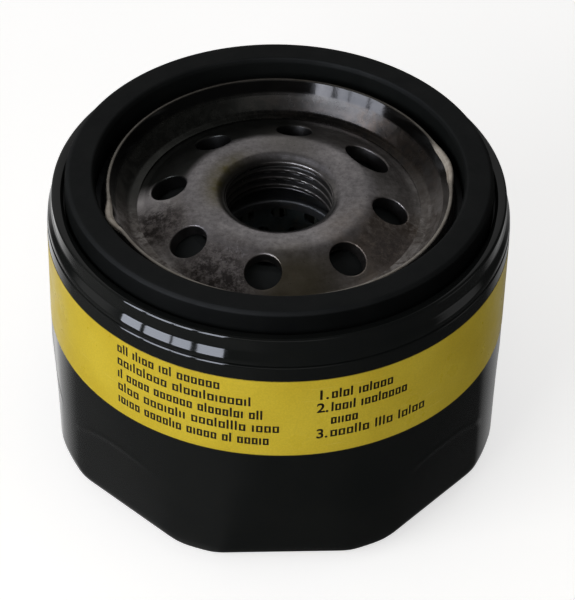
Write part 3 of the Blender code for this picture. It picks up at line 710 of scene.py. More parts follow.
def paper():
    """Resin-treated filter paper: fibres, mottled resin and a soft sheen."""
    f = Finish("filter_paper")
    resin = f.noise(4, 5.0, 0.6)
    colour = f.ramp(resin, (0.30, (0.36, 0.25, 0.11)), (0.72, (0.50, 0.38, 0.19)))
    fibre = f.noise(0.5, 4.0, 0.7, 0.0, f.vector("MULTIPLY", (1.0, 1.0, 0.25)).outputs[0])
    # Painted shade deep in the inner folds of the pleats.
    inner_fold_shade = f.fall(f.radius(), 13.0, 17.0)
    colour = f.mix(f.mul(inner_fold_shade, 0.92), colour, (0.13, 0.16, 0.16))
    colour = f.tone(colour, f.ramp(fibre, (0.3, 0.80), (0.7, 1.08)))
    return f.done(colour, 0.86, f.bump(fibre, 0.05), Specular_IOR_Level=0.25)


def cast_compound(name, dark, light):
    """Cured adhesive or seaming compound with small bubbles."""
    f = Finish(name)
    colour = f.ramp(f.noise(3, 4.0), (0.3, dark), (0.7, light))
    bubbles = f.ramp(f.noise(0.7, 2.0), (0.62, 0.0), (0.72, 1.0))
    colour = f.mix(f.mul(bubbles, 0.4), colour, dark)
    normal = f.bump(f.rest(bubbles), 0.04)
    return f.done(colour, f.ramp(bubbles, (0.0, 0.45), (1.0, 0.7)), normal)


# Outside pieces -----------------------------------------------------------------------

def flat_reshape(azimuth, radius, height):
    """Press the eight wrench flats, with soft edges, deepening towards the closed end."""
    if height >= FLAT_TOP_Z or radius < FLAT_FOOT_RADIUS:
        return radius
    pitch = 2.0 * math.pi / FLAT_COUNT
    from_flat = (azimuth - math.radians(FLAT_AZIMUTH) + pitch / 2.0) % pitch - pitch / 2.0
    depth = FLAT_SLOPE * (1.0 - height / FLAT_TOP_Z) ** 2.4
    depth += FLAT_SHOULDER * smooth(0.0, 7.0, FLAT_TOP_Z - height)
    flat = (radius - depth) / math.cos(from_flat)
    soft = min(FLAT_SOFTNESS, 0.8 * depth)
    if soft <= 0.0:
        return min(radius, flat)
    overlap = max(0.0, soft - abs(radius - flat)) / soft
    return min(radius, flat) - overlap * overlap * soft / 4.0


def build_can():
    """Drawn can in one sheet: dished end, corner, wall, neck, seam roll and inner leg."""
    seam_bottom = 46.35
    corners = [
        (0.0, 1.0, 0.0), (9.2, 1.0, 1.2), (11.0, 0.0, 1.2), (CAN_RADIUS, 0.0, CAN_CORNER),
        (CAN_RADIUS, FLAT_TOP_Z, 0.0), (CAN_RADIUS, seam_bottom, 0.55),
        (CAN_RADIUS - 0.75, seam_bottom + 0.08, 0.12), (SEAM_BULGE_RADIUS, seam_bottom + 0.16, 0.55),
        (SEAM_BULGE_RADIUS - 0.06, 47.5, 1.1), (SEAM_WALL_RADIUS, 48.75, 1.4),
        (SEAM_WALL_RADIUS, SEAM_TOP_Z, 0.5), (SEAM_WALL_RADIUS - 0.9, SEAM_TOP_Z + 0.02, 0.0),
        (SEAM_INNER_RADIUS, SEAM_TOP_Z - 0.08, 0.55), (SEAM_INNER_RADIUS, CHANNEL_FLOOR_Z + 0.3, 0.0),
    ]
    path = rounded(corners, degrees_per_step=7.5)
    corner = [point for point in path if point[1] <= FLAT_TOP_Z and point[0] > FLAT_FOOT_RADIUS]
    first = path.index(corner[0])
    path = path[:first] + divide(corner, 0.8) + path[first + len(corner):]
    bm = revolve(sheet(path[::-1], CAN_SHEET), SIDES, flat_reshape, FLAT_AZIMUTH)
    add_piece("can_shell", bm, can_paint(), "can")


def build_label():
    """Printed band round the can, as thin as its ink and lacquer."""
    inner, outer, edge = CAN_RADIUS + 0.015, CAN_RADIUS + 0.05, 0.03
    outline = [
        (inner, LABEL_BOTTOM_Z), (outer - edge, LABEL_BOTTOM_Z), (outer, LABEL_BOTTOM_Z + edge),
        (outer, LABEL_TOP_Z - edge), (outer - edge, LABEL_TOP_Z), (inner, LABEL_TOP_Z),
    ]
    bm = revolve(outline, SIDES, None, FLAT_AZIMUTH)
    add_piece("label_band", bm, label_ink(), "can")


PRINT_RADIUS = CAN_RADIUS + 0.052
PRINT_THICKNESS = 0.02
GLYPH_HEIGHT = 1.4              # of a small block
GLYPH_TALL = 1.95
GLYPH_WIDTH = 0.86
GLYPH_GAP = 0.22
WORD_SPACE = 0.42
STROKE = 0.33


def wrap(across, up, lift):
    """Point on the can: across is the arc length from azimuth 0, up is z."""
    return polar(PRINT_RADIUS + lift, math.degrees(across / CAN_RADIUS), up)


def print_block(bm, left, right, bottom, top):
    """One thin inked rectangle, curved with the can."""
    steps = max(1, math.ceil((right - left) / 0.5))
    columns = []
    for step in range(steps + 1):
        across = left + (right - left) * step / steps
        spots = ((bottom, 0.0), (top, 0.0), (top, PRINT_THICKNESS), (bottom, PRINT_THICKNESS))
        columns.append([bm.verts.new(wrap(across, up, lift)) for up, lift in spots])
    loft(bm, columns)


def mark_width(kind):
    return {"box": GLYPH_WIDTH, "space": WORD_SPACE}.get(kind, STROKE)


def print_mark(bm, left, width, baseline, kind):
    """One abstract placeholder mark: an open box, or a tall or short bar."""
    top = baseline + (GLYPH_TALL if kind == "bar" else GLYPH_HEIGHT)
    if kind != "box":
        print_block(bm, left, left + width, baseline, top)
        return
    right, rule = left + width, 0.85 * STROKE
    print_block(bm, left, left + STROKE, baseline, top)
    print_block(bm, right - STROKE, right, baseline, top)
    print_block(bm, left + STROKE, right - STROKE, baseline, baseline + rule)
    print_block(bm, left + STROKE, right - STROKE, top - rule, top)


def print_line(bm, chance, azimuths, baseline, word_lengths):
    """A line of placeholder words, drawn out to fill the given azimuths."""
    kinds = []
    for length in word_lengths:
        kinds += chance.choices(("box", "bar", "short"), (7, 2.2, 1), k=length) + ["space"]
    kinds.pop()
    left, right = (math.radians(azimuth) * CAN_RADIUS for azimuth in azimuths)
    natural = sum(mark_width(kind) + GLYPH_GAP for kind in kinds) - GLYPH_GAP
    stretch = (right - left) / natural
    for kind in kinds:
        width = mark_width(kind) * (stretch if kind == "box" else 1.0)
        if kind != "space":
            print_mark(bm, left, width, baseline, kind)
        left += (mark_width(kind) + GLYPH_GAP) * stretch


def print_numeral(bm, text, start_azimuth, baseline, height):
    """A plain list numeral in Blender's own font, wrapped on the can."""
    curve = bpy.data.curves.new("numeral", "FONT")
    curve.body = text
    curve.size = height / 0.70
    curve.offset = 0.02 * curve.size
    holder = new_object("numeral", curve)
    loose = bmesh.new()
    loose.from_mesh(worked_out(holder))
    bpy.data.objects.remove(holder, do_unlink=True)
    bmesh.ops.remove_doubles(loose, verts=loose.verts, dist=0.002)
    extruded = bmesh.ops.extrude_face_region(loose, geom=loose.faces[:])
    raised = {v for v in extruded["geom"] if isinstance(v, bmesh.types.BMVert)}
    across = math.radians(start_azimuth) * CAN_RADIUS
    for vertex in loose.verts:
        lift = PRINT_THICKNESS if vertex in raised else 0.0
        vertex.co = wrap(across + vertex.co.x, baseline + vertex.co.y, lift)
    add_copy(bm, loose, Matrix.Identity(4))


def build_label_print():
    """Generic print: five placeholder lines on the left and a numbered list on the right."""
    bm = bmesh.new()
    chance = random.Random(5)
    first_baseline = LABEL_TOP_Z - 2.8
    left_block = (
        (-103.2, (3, 5, 3, 6)), (-95.6, (9, 13)), (-92.8, (2, 4, 6, 8, 3)),
        (-88.8, (4, 8, 9, 4)), (-91.2, (5, 7, 5, 2, 5)),
    )
    for row, (end, words) in enumerate(left_block):
        print_line(bm, chance, (-131.2, end), first_baseline - 2.74 * row, words)
    list_baseline = LABEL_TOP_Z - 4.2
    list_block = ((-60.8, (4, 6)), (-56.7, (5, 8)), (-69.7, (5,)), (-51.0, (6, 4, 5)))
    for row, (end, words) in enumerate(list_block):
        print_line(bm, chance, (-76.4, end), list_baseline - 2.8 * row, words)
    for numeral, row in (("1.", 0), ("2.", 1), ("3.", 3)):
        print_numeral(bm, numeral, -80.0, list_baseline - 2.8 * row, GLYPH_TALL)
    add_piece(None, bm, label_black(), "can", "label_marks")


def stake_reshape(azimuth, radius, height):
    """Push the lid's lip outwards at the two stakes."""
    if height < STAKE_FOOT_Z or not LIP_RADIUS - 1.4 < radius < GASKET_INNER_RADIUS:
        return radius
    push = 0.0
    for stake, most, half_width in STAKES:
        away = abs((math.degrees(azimuth) - stake + 180.0) % 360.0 - 180.0)
        if away < half_width:
            push += most * math.cos(math.radians(90.0 * away / half_width)) ** 2
    push *= 0.72 + 0.28 * smooth(LIP_RADIUS - 0.5, LIP_RADIUS + 0.5, radius)
    return radius + push * smooth(STAKE_FOOT_Z, STAKE_FOOT_Z + STAKE_RISE, height)


def build_lid():
    """Lid: flange on the plate, dish wall, bead, lip, gasket channel and upright flange."""
    dish, flange = 47.52, SEAM_INNER_RADIUS + 0.8
    corners = [
        (LID_INNER_RADIUS, dish, 0.0), (LID_INNER_RADIUS + 1.5, dish + 0.06, 1.0),
        (LIP_RADIUS - 1.35, dish + 2.35, 0.35), (LIP_RADIUS - 0.62, LIP_TOP_Z - 0.9, 2.0),
        (LIP_RADIUS - 0.20, LIP_TOP_Z, 0.30), (LIP_RADIUS + 0.42, LIP_TOP_Z, 0.34),
        (LIP_RADIUS + 0.95, CHANNEL_FLOOR_Z, 0.5), (flange, CHANNEL_FLOOR_Z, 0.6),
        (flange, SEAM_TOP_Z - 1.3, 0.0),
    ]
    bm = revolve(sheet(divide(rounded(corners), 0.9), LID_SHEET), SIDES, stake_reshape)
    add_piece("seaming_lid", bm, lid_steel(), "can")


def build_sealant():
    """Bead of compound in the top of the seam, slightly crowned."""
    inner, outer, bottom, top = measure("seam_sealant")
    corners = [
        (inner, bottom, 0.1), (outer, bottom, 0.1), (outer, top - 0.08, 0.12),
        ((inner + outer) / 2.0, top, 0.2), (inner, top - 0.08, 0.12),
    ]
    finish = cast_compound("seam_compound", (0.10, 0.105, 0.10), (0.22, 0.225, 0.21))
    bm = revolve(rounded(corners, True, 20.0), INNER_SIDES)
    add_piece("seam_sealant", bm, finish, "can")


def thread_reshape(azimuth, radius, height):
    """Cut the 60-degree thread into the bore, fading out at both ends."""
    if radius > THREAD_MINOR_RADIUS + 0.001:
        return radius
    turns = (height - THREAD_CREST_Z) / THREAD_PITCH - (azimuth - math.pi / 2.0) / (2.0 * math.pi)
    from_crest = abs((turns + 0.5) % 1.0 - 0.5) * 2.0
    groove = min(1.0, max(0.0, (from_crest - 0.22) / 0.66))
    fade = smooth(COLLAR_BOTTOM_Z, COLLAR_BOTTOM_Z + 0.8, height)
    fade *= 1.0 - smooth(THREAD_TOP_Z - 0.9, THREAD_TOP_Z + 0.25, height)
    return radius + THREAD_DEPTH * groove * fade


def inlet_cutters():
    """Eight punched holes normal to the cone, each with a rounded entry; one is drawn out."""
    bm = bmesh.new()
    surface = CONE_TOP[1] - (INLET_PITCH_RADIUS - CONE_TOP[0]) * CONE_SLOPE
    edge = 0.32
    mouth = INLET_RADIUS + edge
    profile = [(0.0, -5.0), (INLET_RADIUS, -5.0)]
    for step in range(7):
        angle = math.radians(90.0 * step / 6)
        profile.append((mouth - edge * math.cos(angle), edge * math.sin(angle) - edge))
    profile += [(mouth + 0.05, 0.4), (mouth + 0.05, 2.0), (0.0, 2.0)]
    for index in range(INLET_COUNT):
        stretch = LONG_INLET_STRETCH if index == LONG_INLET else 1.0
        place = Matrix.Rotation(math.radians(INLET_AZIMUTH + 360.0 * index / INLET_COUNT), 4, "Z")
        place = place @ Matrix.Translation((INLET_PITCH_RADIUS, 0.0, surface))
        place = place @ Matrix.Rotation(math.atan(CONE_SLOPE), 4, "Y")
        add_copy(bm, revolve(profile, 56), place @ Matrix.Diagonal((1.04, stretch, 1.0, 1.0)))
    return bm


def build_plate():
    """Thick plate: threaded collar, plateau, cone with the inlets, and flat rim."""
    drop = PLATE_THICKNESS / math.cos(math.atan(CONE_SLOPE))
    plateau_edge = CONE_TOP[0] - (PLATEAU_Z - CONE_TOP[1]) / CONE_SLOPE
    bore, collar, rim_top = THREAD_MINOR_RADIUS, 11.4, 47.2
    foot, foot_z = CONE_FOOT
    under = rim_top - PLATE_THICKNESS
    corners = [
        (bore + 0.10, THREAD_TOP_Z + 0.50, 0.3), (bore + 0.60, PLATEAU_Z - 0.80, 0.9),
        (bore + 1.55, PLATEAU_Z - 0.10, 1.6), (12.6, PLATEAU_Z, 2.5), (plateau_edge, PLATEAU_Z, 4.0),
        (foot, foot_z, 2.5), (foot + 0.9, rim_top, 1.0), (PLATE_RADIUS, rim_top, 0.25),
        (PLATE_RADIUS, under, 0.25), (foot + 0.6, under, 0.8), (foot - 0.5, foot_z - drop + 0.2, 1.0),
        (CONE_TOP[0], CONE_TOP[1] - drop, 1.5), (13.3, PLATEAU_Z - PLATE_THICKNESS, 1.5),
        (collar, 47.2, 1.2), (collar, COLLAR_BOTTOM_Z, 0.4), (bore + 0.3, COLLAR_BOTTOM_Z, 0.2),
    ]
    rows = 84
    top, bottom = THREAD_TOP_Z + 0.25, COLLAR_BOTTOM_Z + 0.25
    thread = [(bore, bottom + (top - bottom) * row / rows) for row in range(rows + 1)]
    bm = revolve(divide(rounded(corners, True), 0.9) + thread, SIDES, thread_reshape)
    plate = add_piece("tapping_plate", bm, plate_steel(), "can")
    cut(plate, inlet_cutters())


def build_gasket():
    """Square-cut rubber ring with soft shoulders."""
    inner, outer, top = GASKET_INNER_RADIUS, GASKET_OUTER_RADIUS, GASKET_TOP_Z
    bottom = CHANNEL_FLOOR_Z + 0.02
    corners = [
        (inner, bottom, 0.2), (outer, bottom, 0.2), (outer, SEAM_TOP_Z + 0.3, 0.5),
        (outer - 0.12, top - 0.5, 0.5), (outer - 0.75, top, 0.7),
        (inner + 0.40, top, 0.55), (inner, top - 0.8, 0.7),
    ]
    finish = rubber("gasket_rubber", (0.0050, 0.0060, 0.0060), (0.0080, 0.0091, 0.0088), 0.56)
    bm = revolve(divide(rounded(corners, True), 1.0))
    add_piece("sealing_gasket", bm, finish, "can")


# Inside pieces ------------------------------------------------------------------------

def build_drainback_valve():
    """Rubber valve: hub with a bead at each end, and a thin skirt with a sealing lip."""
    inner, edge, bottom, top = measure("anti_drainback_valve")
    corners = [
        (inner, bottom, 0.15), (inner + 1.9, bottom, 0.4), (inner + 1.9, bottom + 0.7, 0.3),
        (inner + 1.4, bottom + 1.1, 0.4), (inner + 1.5, top - 2.2, 1.0), (15.3, top - 1.0, 1.5),
        (edge - 0.8, 43.6, 0.8), (edge, 43.45, 0.15), (edge - 0.1, 44.25, 0.3), (edge - 1.0, 44.45, 0.6),
        (15.8, top - 0.1, 1.2), (14.4, top, 0.5), (inner + 1.3, top - 1.0, 0.6), (inner, top - 1.0, 0.2),
    ]
    finish = rubber("valve_rubber", (0.015, 0.0170, 0.0170), (0.024, 0.027, 0.027), 0.55)
    turn_solid("anti_drainback_valve", corners, finish, "drainback_valve", 12.0, 1.2)


def build_end_caps():
    """Drawn end caps: rounded skirts, stiffening rings, and the outlet's rolled neck."""
    finish = bright_steel("cap_steel", (0.14, 0.145, 0.15), (0.24, 0.24, 0.24), 0.48)
    low, high = span("element_top_cap")
    plane, neck = high - 1.0, reach("element_top_cap")[0] - 0.25
    corners = [
        (neck, plane - 1.2, 0.0), (neck, high - 0.5, 0.40), (neck + 0.9, high - 0.5, 0.38),
        (neck + 1.35, plane, 0.3), (17.0, plane, 0.6), (18.0, plane - 0.45, 0.6),
        (27.0, plane - 0.45, 0.6), (28.0, plane, 0.6), (ELEMENT_RADIUS, plane, 1.0),
        (ELEMENT_RADIUS, low, 0.0),
    ]
    turn_sheet("element_top_cap", corners, finish, 15.0)
    low, high = span("element_bottom_cap")
    corners = [
        (ELEMENT_RADIUS, high, 0.0), (ELEMENT_RADIUS, low, 1.0), (28.0, low, 0.6), (27.0, low + 0.4, 0.6),
        (18.0, low + 0.4, 0.6), (17.0, low, 0.6), (reach("element_bottom_cap")[0], low, 0.0),
    ]
    turn_sheet("element_bottom_cap", corners, finish, 15.0)


def build_center_tube():
    """Perforated tube, built from tiles that each hold one round hole, in staggered rows."""
    inner, outer, bottom, top = measure("center_tube")
    columns, rows, hole = 12, 7, 1.45
    width, height = 2.0 * math.pi * outer / columns, (top - bottom) / rows
    bm = bmesh.new()
    for column in range(columns):
        for row in range(rows):
            azimuth = 360.0 * (column + 0.5 * (row % 2)) / columns
            middle = bottom + height * (row + 0.5)
            rings = []
            for radius, size in ((outer, None), (outer, hole), (inner, hole), (inner, None)):
                corners = tile_ring(width, height, size)
                ring = [polar(radius, azimuth + math.degrees(x / outer), middle + y) for x, y in corners]
                rings.append([bm.verts.new(place) for place in ring])
            for ring, other in zip(rings, rings[1:]):
                bridge(bm, ring, other)
    bmesh.ops.remove_doubles(bm, verts=bm.verts, dist=0.01)
    for level in (bottom, top):
        rim = [e for e in bm.edges if e.is_boundary and all(abs(v.co.z - level) < 0.01 for v in e.verts)]
        bmesh.ops.bridge_loops(bm, edges=rim)
    # Painted shade: the tube's steel is given a dark grey-green tone, as of the shade deep in the bore.
    finish = bright_steel("tube_steel", (0.075, 0.096, 0.100), (0.12, 0.148, 0.152), 0.60, 0.35)
    add_piece("center_tube", bm, finish, "element")


def tile_ring(width, height, hole_radius, count=24):
    """Points round a tile's hole, or out on its border where no hole radius is given."""
    points = []
    for index in range(count):
        angle = 2.0 * math.pi * index / count
        cos, sin = math.cos(angle), math.sin(angle)
        away = hole_radius or 0.5 / max(abs(cos) / width, abs(sin) / height)
        points.append((cos * away, sin * away))
    return points


def pleat_path():
    """Middle line of the folded paper: parallel flanks with rounded tips and roots."""
    low_radius, high_radius, half = 12.7, reach("pleated_media")[1] - 0.1, 0.50
    tip = high_radius - half
    root_half = math.pi / PLEAT_COUNT * low_radius - half
    local = []
    for step in range(5):
        dip = 0.4 * root_half * math.cos(math.radians(90.0 * step / 4))
        local.append((low_radius - dip, -half - root_half * (1.0 - step / 4)))
    for step in range(1, 7):
        local.append((low_radius + (tip - low_radius) * step / 6, -half))
    for step in range(1, 8):
        angle = math.radians(-90.0 + 180.0 * step / 8)
        local.append((tip + half * math.cos(angle), half * math.sin(angle)))
    for step in range(7):
        local.append((tip - (tip - low_radius) * step / 6, half))
    for step in range(1, 4):
        dip = 0.4 * root_half * math.sin(math.radians(90.0 * step / 4))
        local.append((low_radius - dip, half + root_half * step / 4))
    points = []
    for pleat in range(PLEAT_COUNT):
        turn = Matrix.Rotation(2.0 * math.pi * pleat / PLEAT_COUNT, 2)
        points += [turn @ Vector(point) for point in local]
    return points


def build_pleats():
    """Folded paper as one closed sheet, each flank slightly bowed along its height."""
    bottom, top = span("pleated_media")
    points = pleat_path()
    count = len(points)
    bm = bmesh.new()
    levels, thickness, most_bow = 9, 0.32, 0.06
    rings = []
    for side in (0.5, -0.5):
        wall = []
        for level in range(levels):
            part = level / (levels - 1)
            ring = []
            for index, point in enumerate(points):
                ahead = (points[(index + 1) % count] - points[index - 1]).normalized()
                out = Vector((ahead.y, -ahead.x)) * (side * thickness)
                bow = most_bow * math.sin(math.pi * part * 3.0 + index * 0.37)
                spot = point + out + Vector((-point.y, point.x)).normalized() * bow
                ring.append(bm.verts.new((spot.x, spot.y, bottom + (top - bottom) * part)))
            wall.append(ring)
        rings += wall if side > 0.0 else wall[::-1]
    close_loop(bm, rings)
    add_piece("pleated_media", bm, paper(), "element", sharp_degrees=60.0)


def build_clip():
    """Folded strip pinched over one pleat, with pressed teeth along its legs."""
    _, face, bottom, top = measure("media_seam_clip")
    face -= 0.05
    half, leg, wall, bend = 1.05, 1.6, 0.3, 0.45
    corners = [(face - leg, -half, 0.0), (face, -half, bend), (face, half, bend), (face - leg, half, 0.0)]
    outline = sheet(rounded(corners, False, 15.0)[::-1], wall)
    bm = bmesh.new()
    levels = 60
    rings = []
    for level in range(levels + 1):
        up = bottom + (top - bottom) * level / levels
        pinch = 0.10 * (0.5 - 0.5 * math.cos(2.0 * math.pi * level / 6))
        ring = []
        for x, y in outline:
            inward = pinch if x < face - 0.6 else 0.0
            ring.append(bm.verts.new((x, y - math.copysign(inward, y), up)))
        rings.append(ring)
    loft(bm, rings)
    finish = bright_steel("clip_steel", (0.42, 0.41, 0.39), (0.58, 0.56, 0.53))
    add_piece("media_seam_clip", bm, finish, "element")


def build_adhesive(node):
    """Poured ring of plastisol, meniscus at both edges."""
    inner, outer, face, back = measure(node)
    if node.endswith("bottom"):
        face, back = back, face
    middle = face + (back - face) * 0.35
    corners = [
        (inner, back, 0.1), (outer, back, 0.1), (outer, face, 0.1),
        (outer - 1.2, middle, 1.0), (inner + 1.2, middle, 1.0), (inner, face, 0.1),
    ]
    finish = cast_compound(node + "_plastisol", (0.30, 0.10, 0.06), (0.46, 0.18, 0.11))
    turn_solid(node, corners, finish, "element", 20.0, 1.5)


def build_bypass_seat():
    """Seat ring with its rolled sealing edge."""
    inner, outer, low, high = measure("bypass_seat")
    plane, edge = low + SHEET, inner + SHEET
    corners = [
        (edge + 0.3, high - 0.25, 0.0), (edge, high, 0.2), (edge - 0.02, plane, 0.3),
        (outer - 0.6, plane, 0.3), (outer, plane - 0.1, 0.0),
    ]
    finish = bright_steel("seat_steel", (0.44, 0.43, 0.41), (0.60, 0.58, 0.55), 0.22)
    turn_sheet("bypass_seat", corners, finish, 20.0, SHEET * 0.8)


def build_bypass_seal():
    inner, outer, low, high = measure("bypass_seal")
    corners = [(inner, low, 0.15), (outer, low, 0.15), (outer, high, 0.15), (inner, high, 0.15)]
    finish = rubber("seal_rubber", (0.022, 0.016, 0.014), (0.036, 0.027, 0.024), 0.5)
    turn_solid("bypass_seal", corners, finish, "bypass_valve", 20.0, 0.8)


def build_bypass_poppet():
    """Poppet disc with a raised spring seat, its boss and its guide stem."""
    _, outer, low, high = measure("bypass_poppet")
    boss, stem, disc = 3.0, 1.2, low + 0.9
    top = disc + 0.8
    corners = [
        (0.0, low, 0.0), (boss, low, 0.25), (boss, disc, 0.1), (outer, disc, 0.2), (outer, top - 0.2, 0.2),
        (4.6, top - 0.2, 0.2), (4.4, top, 0.15), (2.7, top, 0.2), (stem, top + 0.25, 0.6),
        (stem, high - 0.5, 0.4), (0.0, high, 0.0),
    ]
    finish = bright_steel("poppet_steel", (0.46, 0.45, 0.43), (0.62, 0.60, 0.57), 0.22)
    turn_solid("bypass_poppet", corners, finish, "bypass_valve", 18.0, 1.2, False)


def build_bypass_cage():
    """Cup over the spring: flange, rounded crown with a stem hole, three side windows."""
    hole, outer, low, high = measure("bypass_cage")
    wall = outer - 1.25
    corners = [
        (outer, low + SHEET, 0.0), (wall, low + SHEET, 0.6), (wall, high, 1.2), (hole + 1.5, high, 0.6),
        (hole, high - 0.15, 0.0),
    ]
    path = divide(rounded(corners, False, 15.0), 1.0)
    finish = bright_steel("cage_steel", (0.40, 0.39, 0.37), (0.56, 0.54, 0.51))
    bm = revolve(sheet(path[::-1], SHEET), INNER_SIDES)
    cage = add_piece("bypass_cage", bm, finish, "element")
    windows, size, middle_z = bmesh.new(), 4.0, 16.0
    for index in range(3):
        one = bmesh.new()
        bmesh.ops.create_cone(one, cap_ends=True, segments=40, radius1=size, radius2=size, depth=7.0)
        place = Matrix.Rotation(math.radians(30.0 + 120.0 * index), 4, "Z")
        place = place @ Matrix.Translation((wall, 0.0, middle_z))
        add_copy(windows, one, place @ Matrix.Rotation(math.radians(90.0), 4, "Y"))
    cut(cage, windows)


def spring_points(start_radius, end_radius, low, high, turns, closed_turns, steps_per_turn=40):
    """Middle line of a spring whose first and last turns lie nearly flat."""
    steps = round(turns * steps_per_turn)
    points = []
    for step in range(steps + 1):
        part = step / steps
        turn = part * turns
        lift = smooth(closed_turns * 0.6, turns - closed_turns * 0.6, turn)
        radius = start_radius + (end_radius - start_radius) * part
        points.append(polar(radius, 360.0 * turn, low + (high - low) * (0.12 * part + 0.88 * lift)))
    return points


def build_spring(node, finish, body, points, wire, sides):
    """Coil of round wire along the given points, riding on its body, with a mesh of its own."""
    coil = add_piece(node, tube_along(points, wire, sides), finish, body)
    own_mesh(coil)


def build_springs():
    """Both compression springs, each riding on its body."""
    finish = bright_steel("spring_wire", (0.34, 0.33, 0.31), (0.50, 0.48, 0.45), 0.24)
    low, high = span("bypass_spring")
    wire, middle = 0.38, sum(reach("bypass_spring")) / 2.0
    points = spring_points(middle, middle, low + wire, high - wire, 6.0, 1.0)
    build_spring("bypass_spring", finish, "element", points, wire, 12)
    low, high = span("element_spring")
    wire, (inner, outer) = 0.8, reach("element_spring")
    points = spring_points(outer - wire, inner + wire, low + wire, high - wire, 2.25, 0.4)
    build_spring("element_spring", finish, "can", points, wire, 16)


# Stage --------------------------------------------------------------------------------

CAMERA_TARGET_Z = 43.6
CAMERA_DISTANCE = 491.0
CAMERA_ELEVATION = 40.18
CAMERA_PAN = -0.204             # small turns away from the target, in degrees
CAMERA_TILT = -1.459
CAMERA_ROLL = -1.300
CAMERA_LENS = 178.55            # mm, on a 36 mm sensor

WINDOW_DISTANCE = 450.0
WINDOW_BOTTOM_Z = -60.0
WINDOW_TOP_Z = 410.0
WINDOW_PANES = ((-158.9, -149.3), (-147.4, -135.3), (-134.2, -126.0), (-123.2, -111.8))
WINDOW_RADIANCE = 8.4           # the panes are seen in reflections only
KEY_RADIANCE = 3.0              # and this panel behind them only lights matt surfaces
FLOOR_GLOW = 0.62               # keeps the floor near white to the camera only


def build_camera():
    """Camera in front of the can, looking down at the sealing end."""
    turned = Matrix.Rotation(math.radians(90.0 - CAMERA_ELEVATION), 4, "X")
    for degrees, axis in ((CAMERA_PAN, "Y"), (CAMERA_TILT, "X"), (-CAMERA_ROLL, "Z")):
        turned = turned @ Matrix.Rotation(math.radians(degrees), 4, axis)
    rise = math.radians(CAMERA_ELEVATION)
    height = CAMERA_TARGET_Z + CAMERA_DISTANCE * math.sin(rise)
    place = polar(CAMERA_DISTANCE * math.cos(rise), -90.0, height) * MM
    data = bpy.data.cameras.new("camera")
    data.lens = CAMERA_LENS
    data.sensor_width = 36.0
    data.clip_start = 10.0 * MM
    data.clip_end = 20000.0 * MM
    camera = new_object("camera", data)
    camera.matrix_world = Matrix.Translation(place) @ turned
    bpy.context.scene.camera = camera


def add_window(name, first, last, radiance, colour):
    """Upright soft light that faces the can, between two azimuths."""
    middle = Vector((0.0, 0.0, (WINDOW_BOTTOM_Z + WINDOW_TOP_Z) / 2.0))
    width = 2.0 * WINDOW_DISTANCE * math.tan(math.radians(last - first) / 2.0) * MM
    height = (WINDOW_TOP_Z - WINDOW_BOTTOM_Z) * MM
    data = bpy.data.lights.new(name, "AREA")
    data.shape = "RECTANGLE"
    data.size, data.size_y = width, height
    data.energy = radiance * width * height * math.pi
    data.color = colour
    light = new_object(name, data)
    place = polar(WINDOW_DISTANCE, (first + last) / 2.0, middle.z)
    light.location = place * MM
    light.rotation_mode = "QUATERNION"
    light.rotation_quaternion = (middle - place).to_track_quat("-Z", "Y")
    light.visible_camera = False
    return light


def build_lights():
    """A four-pane window at the front left for reflections, and a soft key from the same side."""
    for index, (first, last) in enumerate(WINDOW_PANES):
        pane = add_window(f"window_pane_{index + 1}", first, last, WINDOW_RADIANCE, (0.82, 0.87, 1.0))
        pane.visible_diffuse = False
    first, last = WINDOW_PANES[0][0], WINDOW_PANES[-1][1]
    key = add_window("soft_key", first, last, KEY_RADIANCE, (1.0, 0.98, 0.96))
    key.visible_glossy = False


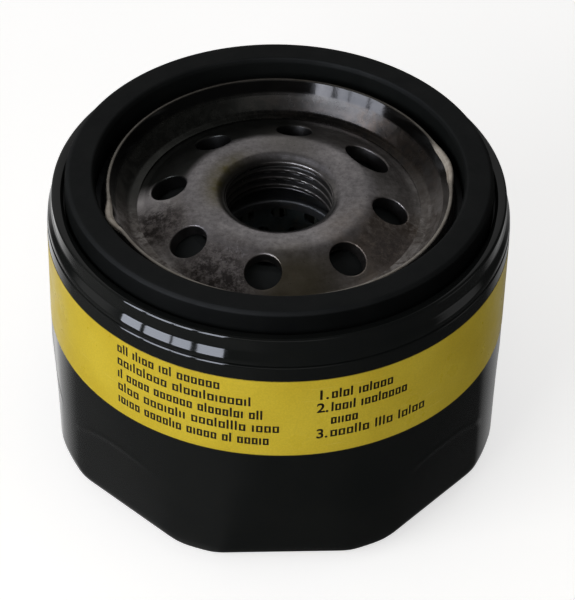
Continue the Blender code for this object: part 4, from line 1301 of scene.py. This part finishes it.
def build_world():
    """Pale to the camera, soft grey as fill, and a dim room with a lit back in reflections."""
    world = bpy.data.worlds.new("studio")
    bpy.context.scene.world = world
    world.use_nodes = True
    world.node_tree.nodes.clear()
    f = Nodes(world.node_tree, "Generated")
    back = f.mul(f.step(f.toward(105.0, 20.0), 0.60, 0.97), 0.31)
    left = f.mul(f.step(f.toward(185.0, 32.0), 0.72, 0.97), 0.085)
    sides = f.most(f.step(f.toward(182.0, -6.0), 0.955, 0.995), f.step(f.toward(-2.0, -6.0), 0.955, 0.995))
    sides = f.mul(sides, 0.30)
    below = f.fall(f.z, -0.50, -0.25)
    table_left = f.line(f.step(f.y, 0.38, 0.74), 0.82, 0.07)
    table_left = f.mul(table_left, f.step(f.mul(f.x, -1.0), -0.05, 0.30))
    table_right = f.mul(f.step(f.y, 0.42, 0.68), 0.29, f.step(f.x, 0.0, 0.2))
    table = f.mul(below, f.add(table_left, table_right))
    high = f.mul(f.step(f.z, 0.28, 0.42), f.fall(f.z, 0.60, 0.72))
    high = f.mul(high, f.step(f.toward(-100.0, 30.0), 0.75, 0.92), 0.40)
    room = f.add(0.030, back, left, sides, table, high)
    rays = f.node("ShaderNodeLightPath")
    unlit = f.mix(rays.outputs["Is Glossy Ray"], (0.31, 0.305, 0.300), room)
    seen = f.mix(rays.outputs["Is Camera Ray"], unlit, (0.97, 0.97, 0.97))
    background = f.node("ShaderNodeBackground", Color=seen)
    output = f.node("ShaderNodeOutputWorld")
    world.node_tree.links.new(background.outputs[0], output.inputs["Surface"])


def floor_finish():
    """Pale matt board that also glows a little, so that it stays near white."""
    f = Finish("floor_board")
    tone = f.ramp(f.noise(60, 3.0), (0.3, 0.82), (0.7, 0.85))
    seen = f.node("ShaderNodeLightPath").outputs["Is Camera Ray"]
    glow = f.mul(seen, FLOOR_GLOW)
    return f.done(
        tone, 0.9, Specular_IOR_Level=0.1, Emission_Color=(1.0, 1.0, 1.0), Emission_Strength=glow
    )


def build_floor():
    """Large pale disc under the can, left out of its reflections."""
    bm = bmesh.new()
    bmesh.ops.create_circle(bm, cap_ends=True, segments=96, radius=3.0)
    mesh = bpy.data.meshes.new("floor")
    bm.to_mesh(mesh)
    bm.free()
    mesh.materials.append(floor_finish())
    floor = new_object("floor", mesh)
    floor.location.z = cad_box[0].z - 0.02 * MM
    floor.visible_glossy = False


# Build --------------------------------------------------------------------------------

build_can()
build_label()
build_label_print()
build_lid()
build_sealant()
build_plate()
build_gasket()
build_drainback_valve()
build_end_caps()
build_center_tube()
build_pleats()
build_clip()
build_adhesive("adhesive_bead_top")
build_adhesive("adhesive_bead_bottom")
build_bypass_seat()
build_bypass_seal()
build_bypass_poppet()
build_bypass_cage()
build_springs()

build_camera()
build_lights()
build_world()
build_floor()
bpy.context.scene.view_settings.view_transform = "Standard"
